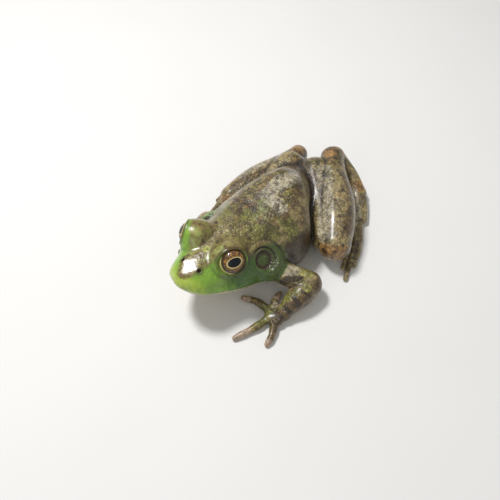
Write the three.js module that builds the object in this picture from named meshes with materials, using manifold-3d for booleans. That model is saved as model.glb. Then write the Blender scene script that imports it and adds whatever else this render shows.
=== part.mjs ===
// A bullfrog crouched on flat ground, life size, as a still museum model.
// The frame is +Z up, with the head towards -Y and the animal's left side at +X.
// The origin lies on the ground under the belly, on the mid-plane of the head.
// Each piece of flesh is a loft: sections of known width and height carried along a line.
// All sizes are for a body of 100 mm from snout to vent, and BODY_LENGTH scales them.
import * as THREE from "three";
import { mergeVertices } from "three/addons/utils/BufferGeometryUtils.js";
import Module from "manifold-3d";

const BODY_LENGTH = 100; // snout to vent, in mm
const SCALE = BODY_LENGTH / 100;
const GAP = 0.3; // clearance between neighbouring pieces, in mm
const BODY_SIDES = 22; // facets round the trunk and head
const LIMB_SIDES = 10;
const DIGIT_SIDES = 6;

const wasm = await Module();
wasm.setup();

// ---------------------------------------------------------------- colours and finishes

const finish = (color, roughness) => new THREE.MeshStandardMaterial({ color, roughness, metalness: 0 });
const MATERIALS = {
  face: finish(0x5d9a35, 0.4),
  back: finish(0x6f6c3a, 0.4),
  throat: finish(0xc9c48a, 0.5),
  limb: finish(0x7a6b3c, 0.4),
  digit: finish(0x9a8a5c, 0.45),
  eye: finish(0x8a5a22, 0.1),
  eardrum: finish(0x6b6a2c, 0.5),
};

// ---------------------------------------------------------------- trunk and head

// Upright sections from front to back: place of the widest point (x, y, z), half width,
// rise above it and depth below it. Powers shape the upper and lower half: 2 is an ellipse.
const TRUNK_SECTIONS = [
  { x: 0.8, y: -36, z: 11, side: 16, up: 14, down: 8, powers: [2, 2] },
  { x: 2.2, y: -26, z: 9.5, side: 19.9, up: 18.6, down: 9.3, powers: [2, 2.2] },
  { x: 4.2, y: -16, z: 8.2, side: 21.8, up: 22, down: 9, powers: [2.1, 2.3] },
  { x: 5, y: -6, z: 8.2, side: 19.6, up: 23.8, down: 9, powers: [2.3, 2.3] },
  { x: 4.3, y: 3, z: 8.8, side: 13.3, up: 23.6, down: 9, powers: [2.6, 2.2] },
  { x: 2.7, y: 10, z: 9.5, side: 10.9, up: 19, down: 8.5, powers: [2.6, 2] },
  { x: 0, y: 17, z: 10.5, side: 9.6, up: 11.5, down: 7.5, powers: [2.3, 2] },
  { x: -2, y: 24, z: 11, side: 8, up: 7, down: 6, powers: [2, 2] },
  { x: -3.4, y: 29.5, z: 11.5, side: 5, up: 4, down: 4, powers: [2, 2] },
];
// The widest point of each head section is the mouth line, which climbs towards the snout.
const HEAD_SECTIONS = [
  { x: 0.8, y: -20, z: 7, side: 19, up: 20, down: 6, powers: [2, 2] },
  { x: 0.5, y: -27, z: 8, side: 20.3, up: 20.6, down: 7, powers: [1.9, 2.1] },
  { x: 0, y: -34, z: 10.3, side: 20.6, up: 20, down: 7.6, powers: [1.8, 2.1] },
  { x: 0, y: -42, z: 13.6, side: 18.6, up: 16.8, down: 8, powers: [1.7, 2.1] },
  { x: 0, y: -50, z: 16.6, side: 15.4, up: 12.8, down: 7, powers: [1.65, 2.1] },
  { x: 0, y: -56, z: 18.8, side: 11.8, up: 9.8, down: 5, powers: [1.75, 2.1] },
  { x: 0, y: -60.5, z: 20.6, side: 7.8, up: 7, down: 3, powers: [1.8, 2.1] },
];
const NOSE_CAP = 3; // the snout rounds off beyond its last section
const RUMP_CAP = 3;
const NECK_CUT_Y = -24; // head in front of it, trunk behind
const NECK_LEAN = 0.2; // slope of the cut
const JAW_CORNER = { y: -33, z: 9 };
const MOUTH_SLOPE = 0.41;

const EYE = { x: 10.6, y: -42.9, z: 26.6, radius: 5.9 };
const BROW = { x: 8.8, y: -41.6, z: 26, width: 5.8, length: 7.6, height: 7.3 };
const EARDRUM = { x: 17.2, y: -31.2, z: 19.4, radius: 4.4, thickness: 1.6, facing: [0.83, -0.12, 0.54] };

// ---------------------------------------------------------------- limbs

// Lines of the limbs, joint by joint: [x, y, z] of the middle of the flesh.
const LEFT = {
  upperArm: [[15, -26.5, 12.5], [26, -25.5, 11], [35.5, -22, 8.4]],
  forearm: [[36.6, -23, 8], [35.4, -30.6, 6.6], [34.2, -37.6, 4.6]],
  hand: [[34.4, -38.6, 3.4], [31.6, -41, 2.8], [29.6, -41.4, 2.4]],
  fingers: [
    [[29, -38.4, 2], [27.2, -34.5, 1.9], [26.6, -30.6, 1.1]],
    [[28, -40.4, 2], [21.3, -40.4, 1.9], [15.6, -42.2, 1.1]],
    [[30.4, -43, 2], [28.6, -50, 1.9], [24.7, -59.2, 1.1]],
    [[33.6, -43.4, 2], [36.2, -49.4, 1.9], [36.8, -53.2, 1.1]],
  ],
  thigh: [[5, 26, 13], [18.5, 12.5, 9.8], [28.6, 1.4, 9.6]],
  shank: [[33.8, -0.4, 10.6], [24.4, 14.6, 13.6], [13.2, 28, 15.8], [6.4, 37.6, 16.8]],
  ankle: [[6.6, 40.2, 15.8], [16.2, 41.4, 8.6], [24.4, 36.8, 3.8]],
  foot: [[25.8, 34.6, 3.4], [31.8, 24, 2.3]],
  toes: [
    [[29.6, 22, 1.8], [33.4, 12, 1]],
    [[30.6, 21.6, 1.8], [34.6, 12, 1.6], [37.6, 4, 1]],
    [[31.8, 21.4, 1.8], [37, 9, 1.6], [41, -2.5, 1]],
    [[33, 21.6, 1.8], [40.4, 7, 1.6], [45.4, -7, 1]],
    [[34.2, 22.4, 1.8], [40.6, 11.6, 1.6], [44.2, 1.6, 1]],
  ],
};
const RIGHT = {
  upperArm: [[-10, -27.5, 12.5], [-16, -26.5, 11], [-20.8, -23.6, 8.2]],
  forearm: [[-21.2, -24.8, 8], [-20.6, -31.6, 6.4], [-19.4, -36.6, 4.4]],
  hand: [[-19.2, -38, 3.4], [-17.2, -40.4, 2.8], [-16.4, -41.4, 2.4]],
  fingers: [
    [[-15.4, -39, 2], [-13.6, -35.6, 1.9], [-13, -31.8, 1.1]],
    [[-15, -40.6, 2], [-9.6, -40.4, 1.9], [-4.4, -42.2, 1.1]],
    [[-16, -42.4, 2], [-14.8, -47.2, 1.9], [-12, -51.6, 1.1]],
    [[-18, -42.4, 2], [-18.6, -46, 1.9], [-17.8, -49.2, 1.1]],
  ],
  thigh: [[-8, 24, 12], [-11.6, 8, 8.6], [-15.4, -5.4, 8.6]],
  shank: [[-19.4, -6.8, 8.8], [-17, 6.6, 9.4], [-13.4, 20.2, 10.2], [-10.6, 32.6, 11]],
  ankle: [[-11, 35, 10.4], [-15.6, 34.4, 6], [-19.6, 27.4, 3.4]],
  foot: [[-20.2, 25.4, 3], [-22.8, 13.4, 2.3]],
  toes: [
    [[-20.8, 11.4, 1.8], [-19, 1.6, 1]],
    [[-21.8, 11.2, 1.8], [-21.4, 2, 1.6], [-20.4, -6, 1]],
    [[-22.8, 11.2, 1.8], [-23.6, -1, 1.6], [-22.8, -12, 1]],
    [[-23.8, 11.4, 1.8], [-26.6, -3.4, 1.6], [-25.8, -16, 1]],
    [[-24.8, 12, 1.8], [-28, 1.4, 1.6], [-28.6, -7, 1]],
  ],
};
// Half width and half height, evenly spaced along each line.
const PROFILES = {
  upperArm: [[6, 6.4], [5.2, 5.6], [4.9, 5], [4.9, 4.9]],
  forearm: [[4.9, 5], [5.2, 5.4], [4.5, 4.6], [3.2, 3.1]],
  hand: [[3.2, 2.9], [4.8, 2.5], [4.8, 2.1], [4.2, 1.9]],
  finger: [[2.1, 1.9], [1.8, 1.7], [1.5, 1.5], [1.35, 1.3]],
  thigh: [[9.2, 9], [9.2, 8.8], [8.4, 8.4], [6.9, 7.2]],
  shank: [[7.2, 7.2], [8.4, 8.2], [8.3, 8], [6.8, 6.6], [5.4, 5.4]],
  ankle: [[4.6, 4.8], [3.4, 3.8], [3.4, 3.3], [4.1, 3]],
  foot: [[4.1, 3], [4.7, 2.6], [4.9, 2.1]],
  toe: [[1.7, 1.7], [1.5, 1.5], [1.3, 1.3], [1.15, 1.15]],
};
const RIGHT_LEG_WIDTH = 0.8; // the right thigh and shank are pressed together
const WEB_THICKNESS = 0.8;
const WEB_REACH = 0.75; // how far along the toes the web goes

// ---------------------------------------------------------------- solids

const vector = ([x, y, z]) => new THREE.Vector3(x, y, z);
const spline = (rows) => new THREE.CatmullRomCurve3(rows.map(vector), false, "catmullrom", 0.5);

/** A closed three.js geometry as a manifold solid. */
function solid(geometry) {
  const bare = geometry.index ? geometry.toNonIndexed() : geometry.clone();
  bare.deleteAttribute("normal");
  bare.deleteAttribute("uv");
  const merged = mergeVertices(bare, 1e-4);
  return new wasm.Manifold(
    new wasm.Mesh({
      numProp: 3,
      vertProperties: merged.attributes.position.array,
      triVerts: new Uint32Array(merged.index.array),
    }),
  );
}

/** Signed power, the building block of a superellipse. */
const power = (value, exponent) => Math.sign(value) * Math.abs(value) ** exponent;

/**
 * A closed body along a line. section(t) gives the centre, the direction, the half width,
 * the height above and below, and the powers of the two halves, for t from 0 to 1.
 * A cap of quarter-ellipse profile rounds each end, and grow moves the whole surface out.
 */
function loft({ section, length, caps, sides, rings, grow = 0 }) {
  const positions = [];
  const indices = [];
  const total = length + caps[0] + caps[1];
  for (let i = 0; i <= rings; i += 1) {
    const travelled = (total * (1 - Math.cos((Math.PI * i) / rings))) / 2;
    const t = THREE.MathUtils.clamp((travelled - caps[0]) / length, 0, 1);
    const { centre, along, side, up, down, powers } = section(t);
    const intoCap = Math.max(1 - travelled / caps[0], 1 - (total - travelled) / caps[1], 0);
    const narrowing = Math.sqrt(1 - intoCap ** 2);
    const past = travelled - caps[0] - t * length + grow * ((2 * i) / rings - 1);
    const across = new THREE.Vector3().crossVectors(along, new THREE.Vector3(0, 0, 1)).normalize();
    const above = new THREE.Vector3().crossVectors(across, along);
    const isPole = i === 0 || i === rings;
    for (let k = 0; k < (isPole ? 1 : sides); k += 1) {
      const angle = (2 * Math.PI * k) / sides;
      const exponent = 2 / (Math.sin(angle) > 0 ? powers[0] : powers[1]);
      const high = (Math.sin(angle) > 0 ? up : down) * narrowing + grow;
      const point = centre.clone().addScaledVector(along, past);
      if (!isPole) {
        point.addScaledVector(across, (side * narrowing + grow) * power(Math.cos(angle), exponent));
        point.addScaledVector(above, high * power(Math.sin(angle), exponent));
      }
      positions.push(...point.multiplyScalar(SCALE).toArray());
    }
  }
  const start = (i) => (i === 0 ? 0 : 1 + (i - 1) * sides);
  for (let k = 0; k < sides; k += 1) {
    const next = (k + 1) % sides;
    indices.push(0, start(1) + k, start(1) + next);
    for (let i = 1; i < rings - 1; i += 1) {
      const [a, b] = [start(i), start(i + 1)];
      indices.push(a + k, b + k, b + next, a + k, b + next, a + next);
    }
    indices.push(start(rings - 1) + k, start(rings), start(rings - 1) + next);
  }
  const geometry = new THREE.BufferGeometry();
  geometry.setAttribute("position", new THREE.Float32BufferAttribute(positions, 3));
  geometry.setIndex(indices);
  return solid(geometry);
}

/** The trunk or the head: upright sections from front to back, or from back to front. */
function body(sections, { rings, caps, grow }) {
  const line = spline(sections.map(({ x, y, z }) => [x, y, z]));
  const sizes = spline(sections.map(({ side, up, down }) => [side, up, down]));
  const shapes = spline(sections.map(({ powers }) => [...powers, 0]));
  const span = sections.at(-1).y - sections[0].y;
  const section = (t) => {
    const [side, up, down] = sizes.getPoint(t).toArray();
    const along = new THREE.Vector3(0, Math.sign(span), 0);
    return { centre: line.getPoint(t), along, side, up, down, powers: shapes.getPoint(t).toArray() };
  };
  return loft({ section, length: Math.abs(span), caps, sides: BODY_SIDES, rings, grow });
}

/** Flesh round a line of joints, with round ends that reach past the first and last. */
function flesh(joints, profile, { sides = LIMB_SIDES, rings = 9, width = 1, grow = 0 } = {}) {
  const line = spline(joints);
  const sizes = spline(profile.map(([side, height]) => [side * width, height, 0]));
  const section = (t) => {
    const { x: side, y: up } = sizes.getPoint(t);
    return { centre: line.getPointAt(t), along: line.getTangentAt(t), side, up, down: up, powers: [2, 2] };
  };
  const caps = [profile[0], profile.at(-1)].map(([side, height]) => Math.min(side * width, height));
  return loft({ section, length: line.getLength(), caps, sides, rings, grow });
}

/** An ellipsoid with its half axes, grown all round. */
function ellipsoid(centre, [x, y, z], { across = 12, high = 8, grow = 0 } = {}) {
  const geometry = new THREE.SphereGeometry(1, across, high);
  geometry.scale((x + grow) * SCALE, (y + grow) * SCALE, (z + grow) * SCALE);
  geometry.translate(...centre.map((v) => v * SCALE));
  return solid(geometry);
}

/** A box from its lowest corner to its highest. */
function block(low, high) {
  const size = high.map((v, i) => (v - low[i]) * SCALE);
  const geometry = new THREE.BoxGeometry(...size);
  geometry.translate(...low.map((v, i) => ((v + high[i]) / 2) * SCALE));
  return solid(geometry);
}

const union = (...solids) => solids.reduce((a, b) => a.add(b));
const GROUND = block([-200, -200, -50], [200, 200, 0]);

/** The largest piece of a solid above the ground, so that slivers of a cut fall away. */
function largest(made) {
  return made
    .subtract(GROUND)
    .decompose()
    .reduce((a, b) => (a.volume() > b.volume() ? a : b));
}

const group = new THREE.Group();

/** Adds a named mesh of the solid. */
function add(name, made, material) {
  const { numProp, numVert, vertProperties, triVerts } = largest(made).getMesh();
  const positions = new Float32Array(numVert * 3);
  for (let i = 0; i < numVert; i += 1) {
    positions.set(vertProperties.subarray(i * numProp, i * numProp + 3), i * 3);
  }
  const geometry = new THREE.BufferGeometry();
  geometry.setAttribute("position", new THREE.BufferAttribute(positions, 3));
  geometry.setIndex(new THREE.BufferAttribute(triVerts, 1));
  geometry.computeVertexNormals();
  const mesh = new THREE.Mesh(geometry, MATERIALS[material]);
  mesh.name = name;
  group.add(mesh);
}

// ---------------------------------------------------------------- head, jaw and trunk

const SIDES = [
  { side: "left", sign: 1 },
  { side: "right", sign: -1 },
];
const onSide = ({ x, y, z }, sign) => [x * sign, y, z];

const trunkSolid = (grow) => body(TRUNK_SECTIONS, { rings: 15, caps: [4, RUMP_CAP], grow });

function headSolid(grow) {
  const { width, length, height } = BROW;
  const brows = SIDES.map(({ sign }) => ellipsoid(onSide(BROW, sign), [width, length, height], { grow }));
  return union(body(HEAD_SECTIONS, { rings: 14, caps: [3, NOSE_CAP], grow }), ...brows);
}

function eyeSolid(sign, grow) {
  return ellipsoid(onSide(EYE, sign), [EYE.radius, EYE.radius, EYE.radius], { grow });
}

/** The eardrum: a flat disc set into the side of the head, facing outwards. */
function eardrumSolid(sign, grow) {
  const radius = (EARDRUM.radius + grow) * SCALE;
  const disc = new THREE.CylinderGeometry(radius, radius, (EARDRUM.thickness + 2 * grow) * SCALE, 16);
  const [x, y, z] = EARDRUM.facing;
  const facing = new THREE.Vector3(x * sign, y, z).normalize();
  disc.applyQuaternion(new THREE.Quaternion().setFromUnitVectors(new THREE.Vector3(0, 1, 0), facing));
  disc.translate(...onSide(EARDRUM, sign).map((v) => v * SCALE));
  return solid(disc);
}

/** Everything on the head side of the leaning neck plane, moved back by `back`. */
function frontOfNeck(back) {
  const geometry = new THREE.BoxGeometry(120, 120, 160);
  geometry.translate(0, -60, 0);
  geometry.rotateX(-Math.atan(NECK_LEAN));
  geometry.translate(0, (NECK_CUT_Y + back) * SCALE, 0);
  return solid(geometry);
}

/** All below the climbing mouth line and in front of the jaw's corner, less a gap. */
function underMouth(gap) {
  const geometry = new THREE.BoxGeometry(120, 80, 60);
  geometry.translate(0, -40 - gap, -30 - gap);
  geometry.rotateX(-Math.atan(MOUTH_SLOPE));
  geometry.scale(SCALE, SCALE, SCALE);
  geometry.translate(0, JAW_CORNER.y * SCALE, JAW_CORNER.z * SCALE);
  return solid(geometry);
}

const torso = union(trunkSolid(0), headSolid(0));
const torsoGrown = union(trunkSolid(GAP), headSolid(GAP));
const sockets = union(...SIDES.flatMap(({ sign }) => [eyeSolid(sign, GAP), eardrumSolid(sign, GAP)]));

add("trunk", torso.subtract(frontOfNeck(GAP)), "back");
add("head", torso.intersect(frontOfNeck(0)).subtract(underMouth(0)).subtract(sockets), "face");
add("lower_jaw", torso.intersect(frontOfNeck(0)).intersect(underMouth(GAP)), "throat");
for (const { side, sign } of SIDES) {
  add(`eye_${side}`, eyeSolid(sign, 0), "eye");
  add(`eardrum_${side}`, eardrumSolid(sign, 0), "eardrum");
}

// ---------------------------------------------------------------- limbs

/** A flat web on the ground, from the ball of the foot to points along each toe. */
function web(toes, grow) {
  const root = toes[2][0];
  const reach = toes.map((joints) => spline(joints).getPointAt(WEB_REACH).toArray());
  const shape = new THREE.Shape();
  shape.moveTo(toes[0][0][0], toes[0][0][1]);
  shape.lineTo(reach[0][0], reach[0][1]);
  reach.slice(1).forEach((to, i) => {
    const between = [0, 1].map((k) => (reach[i][k] + to[k]) / 2);
    const dip = [0, 1].map((k) => THREE.MathUtils.lerp(between[k], root[k], 0.3));
    shape.quadraticCurveTo(...dip, to[0], to[1]);
  });
  shape.lineTo(toes[4][0][0], toes[4][0][1]);
  shape.closePath();
  const bevel = { bevelEnabled: grow > 0, bevelThickness: grow, bevelSize: grow, bevelSegments: 1 };
  const geometry = new THREE.ExtrudeGeometry(shape, { depth: WEB_THICKNESS, curveSegments: 3, ...bevel });
  geometry.scale(SCALE, SCALE, SCALE);
  return solid(geometry);
}

/** Adds one side's limbs. Earlier pieces keep their shape and later ones give way to them. */
function addLimbs(side, lines, legWidth) {
  const digit = { sides: DIGIT_SIDES, rings: 6 };
  const pieces = [
    ["upper_arm", (grow) => flesh(lines.upperArm, PROFILES.upperArm, { grow })],
    ["forearm", (grow) => flesh(lines.forearm, PROFILES.forearm, { grow })],
    ["hand", (grow) => flesh(lines.hand, PROFILES.hand, { grow, rings: 8 })],
    ["shank", (grow) => flesh(lines.shank, PROFILES.shank, { grow, rings: 11, width: legWidth })],
    ["thigh", (grow) => flesh(lines.thigh, PROFILES.thigh, { grow, width: legWidth })],
    ["ankle", (grow) => flesh(lines.ankle, PROFILES.ankle, { grow })],
    ["foot", (grow) => flesh(lines.foot, PROFILES.foot, { grow, rings: 8 }).add(web(lines.toes, grow))],
  ];
  lines.fingers.forEach((joints, i) => {
    pieces.push([`finger_${i + 1}`, (grow) => flesh(joints, PROFILES.finger, { ...digit, grow })]);
  });
  lines.toes.forEach((joints, i) => {
    pieces.push([`toe_${i + 1}`, (grow) => flesh(joints, PROFILES.toe, { ...digit, grow })]);
  });
  let taken = torsoGrown.add(sockets);
  for (const [name, make] of pieces) {
    add(`${name}_${side}`, make(0).subtract(taken), /finger|toe/.test(name) ? "digit" : "limb");
    taken = taken.add(make(GAP));
  }
}

addLimbs("left", LEFT, 1);
addLimbs("right", RIGHT, RIGHT_LEG_WIDTH);

export default group;
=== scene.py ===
"""A bullfrog crouched on flat ground, life size, as a still museum model.

The skin is one closed surface over the whole body, and the eyes are pieces of their own.
Lengths in the tables are millimetres on a frog whose body is 100 mm long, and MM turns
them into metres of the loaded frame. +Z is up, the head points towards -Y, and the
animal's left side is at +X.
"""
import math

import bpy
import numpy as np
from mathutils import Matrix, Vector


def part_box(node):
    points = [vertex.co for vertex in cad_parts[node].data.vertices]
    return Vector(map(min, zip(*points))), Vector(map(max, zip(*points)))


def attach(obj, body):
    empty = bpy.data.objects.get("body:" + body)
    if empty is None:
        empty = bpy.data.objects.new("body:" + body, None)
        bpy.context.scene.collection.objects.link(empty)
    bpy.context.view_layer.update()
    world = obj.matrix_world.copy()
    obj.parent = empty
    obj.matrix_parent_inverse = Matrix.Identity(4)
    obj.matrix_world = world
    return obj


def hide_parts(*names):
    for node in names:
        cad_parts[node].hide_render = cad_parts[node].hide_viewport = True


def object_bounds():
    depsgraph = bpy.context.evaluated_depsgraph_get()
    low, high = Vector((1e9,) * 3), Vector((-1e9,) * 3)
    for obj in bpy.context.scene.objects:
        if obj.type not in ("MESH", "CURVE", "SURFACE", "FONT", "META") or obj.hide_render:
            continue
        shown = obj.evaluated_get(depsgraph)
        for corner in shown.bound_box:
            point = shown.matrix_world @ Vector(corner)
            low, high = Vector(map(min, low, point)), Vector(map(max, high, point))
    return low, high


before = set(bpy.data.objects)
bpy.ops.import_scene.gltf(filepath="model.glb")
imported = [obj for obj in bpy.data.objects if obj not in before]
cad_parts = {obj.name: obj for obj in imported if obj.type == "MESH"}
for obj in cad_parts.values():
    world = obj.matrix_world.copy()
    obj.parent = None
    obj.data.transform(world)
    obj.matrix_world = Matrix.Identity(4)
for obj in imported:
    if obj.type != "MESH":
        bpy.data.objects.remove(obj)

bl_info = {
    "name": "Bullfrog",
    "version": (1, 0, 0),
    "blender": (4, 5, 0),
    "location": "3D View > Sidebar > Bullfrog",
    "description": "Builds the skin, the eyes and the stage of a life-size bullfrog",
    "category": "Add Mesh",
}

# ---------------------------- what the frame gives

CAD_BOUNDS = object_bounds()
BODY_SPAN = 96.0  # from the snout to the rump along Y, in the tables' millimetres
MM = (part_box("trunk")[1].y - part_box("lower_jaw")[0].y) / BODY_SPAN
FLESH = [name for name in sorted(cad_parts) if not name.startswith("eye_")]


def middle_of(node):
    """The middle of a node's box, in the tables' millimetres."""
    low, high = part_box(node)
    return np.array((low + high) / 2) / MM


EYE_CENTRE = middle_of("eye_left")
EYE_RADIUS = (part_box("eye_left")[1].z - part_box("eye_left")[0].z) / 2 / MM
DRUM_CENTRE = middle_of("eardrum_left")

# ---------------------------- sizes of the body

# Upright sections of the trunk, from front to back: place along the body, middle (x, z),
# half width, rise, depth, and the powers of the upper and lower half (2 is an ellipse).
TRUNK = [
    (-36, 0.8, 11, 16, 14, 8, 2, 2),
    (-26, 2.2, 9.5, 19.9, 18.6, 9.3, 2, 2.2),
    (-16, 4.2, 8.2, 21.8, 22, 9, 2.1, 2.3),
    (-6, 5, 8.2, 19.6, 23.8, 9, 2.3, 2.3),
    (3, 4.3, 8.8, 13.3, 23.6, 9, 2.6, 2.2),
    (10, 2.7, 9.5, 10.9, 19, 8.5, 2.6, 2),
    (17, 0, 10.5, 9.6, 11.5, 7.5, 2.3, 2),
    (24, -2, 11, 8, 7, 6, 2, 2),
    (29.5, -3.4, 11.5, 5, 4, 4, 2, 2),
]
# The head's sections in the same form. Their widest points lie on the mouth line.
HEAD = [
    (-20, 0.8, 7, 19, 20, 6, 2, 2),
    (-27, 0.5, 8, 20.3, 20.6, 7, 1.9, 2.1),
    (-34, 0, 10.3, 20.6, 20, 7.6, 1.8, 2.1),
    (-42, 0, 13.6, 18.6, 16.8, 8, 1.7, 2.1),
    (-50, 0, 16.6, 15.4, 12.8, 7, 1.7, 2.1),
    (-56, 0, 18.8, 12, 9.6, 5, 1.85, 2.1),
    (-59.6, 0, 20.2, 9.2, 7.4, 3.8, 1.95, 2.1),
    (-61.7, 0, 21.1, 6.2, 5.4, 2.6, 1.95, 2.1),
    (-62.75, 0, 21.6, 3.1, 3, 1.4, 2, 2.1),
]
TRUNK_CAPS = (3, 3)  # how far the front and the rear round off beyond the last sections
HEAD_CAPS = (0.5, 3)

BROW = {"centre": (8, -42, 25.6), "halves": (5.7, 7.6, 7.1), "power": 2.25}
CHEEK = {"centre": (19.8, -28, 13.2), "halves": (5.6, 6, 6.6)}
DRUM_FACING = (0.72, -0.2, 0.66)
DRUM_RADIUS = 4.3
DRUM_OUT = 1.1  # the eardrum's skin lies this far out from the middle of its solid
# Where the left eye looks and its lids open, then the right ones, as seen in a mirror.
GAZE = ((0.62, -0.38, 0.69), (0.73, -0.38, 0.57))
LID_FACING = ((0.7, -0.43, 0.57), (0.86, -0.4, 0.32))
# Degrees from the middle of the opening to the lids' edge: to either side, up and down.
LID_OPENING = ((68, 60, 62), (50, 44, 52))
LID_THICKNESS = 0.6
LID_RIM = 0.52  # half the thickness of the lids' rounded edge
RIGHT_EYE_IN = 1.0  # the right eye is this much nearer to the middle
RIGHT_CHEEK_IN = 3.9  # and so is the right cheek
RIGHT_EAR_DROP = 1.2  # and its upper part lies this much lower
RIGHT_CHEEK_FLATTER = 2
RIGHT_FOLD_THINNER = 0.9
PUPIL = (28, 17.5)  # degrees from the gaze to the pupil's edge, along and across it
IRIS = (57, 53)
PUPIL_TILT = 6  # degrees that the pupil's rear end is turned up
NOSTRIL = (4.75, -55.2, 27.9)
NOSTRIL_HALVES = (0.62, 0.8, 1.3)
FOLD = [  # from the eye's rear corner over and behind the eardrum to the arm
    (12.6, -36.6, 24),
    (12.9, -33.6, 24.2),
    (13.4, -30.4, 24.3),
    (14.5, -27.6, 23.8),
    (16.4, -25.8, 22.4),
    (18.8, -24.9, 20.2),
    (21.2, -25.2, 17.6),
    (23, -26, 14.6),
]
FOLD_GIRTH = ((0, 0.15, 0.4, 0.7, 1), (0.5, 1.0, 1.3, 1.5, 1.0))  # its radius along its length
JAW_CORNER_Y = -33.5
# Dents, and swellings where the depth is below 0: middle, spread and depth.
HEAD_DENTS = [
    ((8.4, -50.5, 25.4), (3.0, 4.2, 2.6), -0.5),  # the ridge from the brow to the nostril
    ((13.2, -50.5, 20.4), (3.4, 4.6, 2.6), 0.75),  # below it
    ((0, -41.5, 30.4), (3.2, 6.5, 3), 1.1),  # between the brows
    ((0, -57.4, 28), (2.4, 3.4, 2), 0.2),  # between the nostrils
    ((15.6, -34.8, 21.5), (2.2, 1.8, 3.4), 0.5),  # between the eye and the eardrum
    (NOSTRIL, (1.5, 1.7, 1.3), -0.55),
]
TRUNK_DENTS = [
    ((8.6, 1.5, 31), (2.4, 5, 2.5), -0.7),  # the hip bones' ends, and between them
    ((0.6, 4, 31), (2.2, 5, 2.5), -0.5),
    ((3.4, 8, 30), (1.6, 7, 3), 0.5),
    ((11.5, -19, 27), (4, 6, 3), -0.6),  # the shoulder blades, and between them
    ((-6.5, -19.5, 27.5), (4, 6, 3), -0.6),
    ((2.6, -17, 30), (2, 8, 2.5), 0.4),
]

# Lines of the limbs from joint to joint, as (x, y, z) of the middle of the flesh.
LEFT = {
    "upper_arm": [(15, -27, 11.2), (26, -26, 10.4), (35.5, -22, 8.4)],
    "forearm": [(36.6, -23, 8), (35.4, -30.6, 6.6), (34.2, -37.6, 4.6)],
    "hand": [(34.4, -38.6, 3.4), (31.6, -41, 2.8), (29.6, -41.4, 2.4)],
    "fingers": [
        [(29, -38.4, 2), (27.2, -34.5, 1.9), (26.6, -30.6, 1.1)],
        [(28, -40.4, 2), (21.3, -40.4, 1.9), (15.6, -42.2, 1.1)],
        [(30.4, -43, 2), (28.6, -50, 1.9), (24.7, -59.2, 1.1)],
        [(33.6, -43.4, 2), (36.2, -49.4, 1.9), (36.8, -53.2, 1.1)],
    ],
    "thigh": [(5, 26, 13), (18.5, 12.5, 9.8), (28.6, 1.4, 9.6)],
    "shank": [(33.8, -0.4, 10.6), (24.4, 14.6, 13.6), (13.2, 28, 15.8), (6.4, 37.6, 16.8)],
    "ankle": [(6.6, 40.15, 15.8), (16.2, 41.15, 8.6), (24.4, 36.8, 3.8)],
    "foot": [(25.8, 34.6, 3.4), (31.8, 24, 2.3)],
    "toes": [
        [(29.6, 22, 1.8), (33.4, 12, 1)],
        [(30.6, 21.6, 1.8), (34.6, 12, 1.6), (37.6, 4, 1)],
        [(31.8, 21.4, 1.8), (37, 9, 1.6), (41, -2.5, 1)],
        [(33, 21.6, 1.8), (40.4, 7, 1.6), (44.9, -6.8, 1)],
        [(34.2, 22.4, 1.8), (40.6, 11.6, 1.6), (44.2, 1.6, 1)],
    ],
}
RIGHT = {
    "upper_arm": [(-10, -27.5, 12), (-15, -26.5, 10.4), (-19.3, -23.8, 8)],
    "forearm": [(-19.7, -25, 7.8), (-19.8, -31.6, 6.3), (-19.4, -36.6, 4.4)],
    "hand": [(-19.2, -38, 3.4), (-17.2, -40.4, 2.8), (-16.4, -41.4, 2.4)],
    "fingers": [
        [(-15.4, -39, 2), (-13.6, -35.6, 1.9), (-13, -31.8, 1.1)],
        [(-15, -40.6, 2), (-9.6, -40.4, 1.9), (-4.4, -42.2, 1.1)],
        [(-16, -42.4, 2), (-14.8, -47.2, 1.9), (-12, -51.6, 1.1)],
        [(-18, -42.4, 2), (-18.6, -46, 1.9), (-17.8, -49.2, 1.1)],
    ],
    "thigh": [(-8, 24, 12), (-11.6, 8, 8.6), (-15.4, -5.4, 8.6)],
    "shank": [(-19.4, -6.8, 8.8), (-17, 6.6, 9.4), (-13.4, 20.2, 10.2), (-10.6, 32.6, 11)],
    "ankle": [(-11, 35, 10.4), (-15.6, 34.4, 6), (-19.6, 27.4, 3.4)],
    "foot": [(-20.2, 25.4, 3), (-22.8, 13.4, 2.3)],
    "toes": [
        [(-20.8, 11.4, 1.8), (-19, 1.6, 1)],
        [(-21.8, 11.2, 1.8), (-21.4, 2, 1.6), (-20.4, -6, 1)],
        [(-22.8, 11.2, 1.8), (-23.6, -1, 1.6), (-22.8, -12, 1)],
        [(-23.8, 11.4, 1.8), (-26.6, -3.4, 1.6), (-25.8, -16, 1)],
        [(-24.8, 12, 1.8), (-28, 1.4, 1.6), (-28.6, -7, 1)],
    ],
}
# Half width and half height of the flesh, evenly spaced along each line.
PROFILES = {
    "upper_arm": [(5.2, 5.4), (5, 5.2), (4.9, 5), (4.9, 4.9)],
    "forearm": [(4.9, 5), (5.2, 5.4), (4.5, 4.6), (3.2, 3.1)],
    "hand": [(3.2, 2.9), (4.8, 2.5), (4.8, 2.1), (4.2, 1.9)],
    "finger": [(2.1, 1.9), (1.7, 1.65), (1.75, 1.7), (1.4, 1.4), (1.5, 1.45), (1.15, 1.1)],
    "thigh": [(9.2, 9), (9.2, 8.8), (8.4, 8.4), (6.9, 7.2)],
    "shank": [(7.2, 7.2), (8.4, 8.2), (8.3, 8), (6.8, 6.6), (5.4, 5.4)],
    "ankle": [(4.6, 4.8), (3.4, 3.8), (3.4, 3.3), (4.1, 3)],
    "foot": [(4.1, 3), (4.7, 2.6), (4.9, 2.1)],
    "toe": [(1.7, 1.7), (1.5, 1.5), (1.55, 1.55), (1.2, 1.2), (1.35, 1.35), (1.1, 1.1), (1.1, 1.1)],
}
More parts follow.
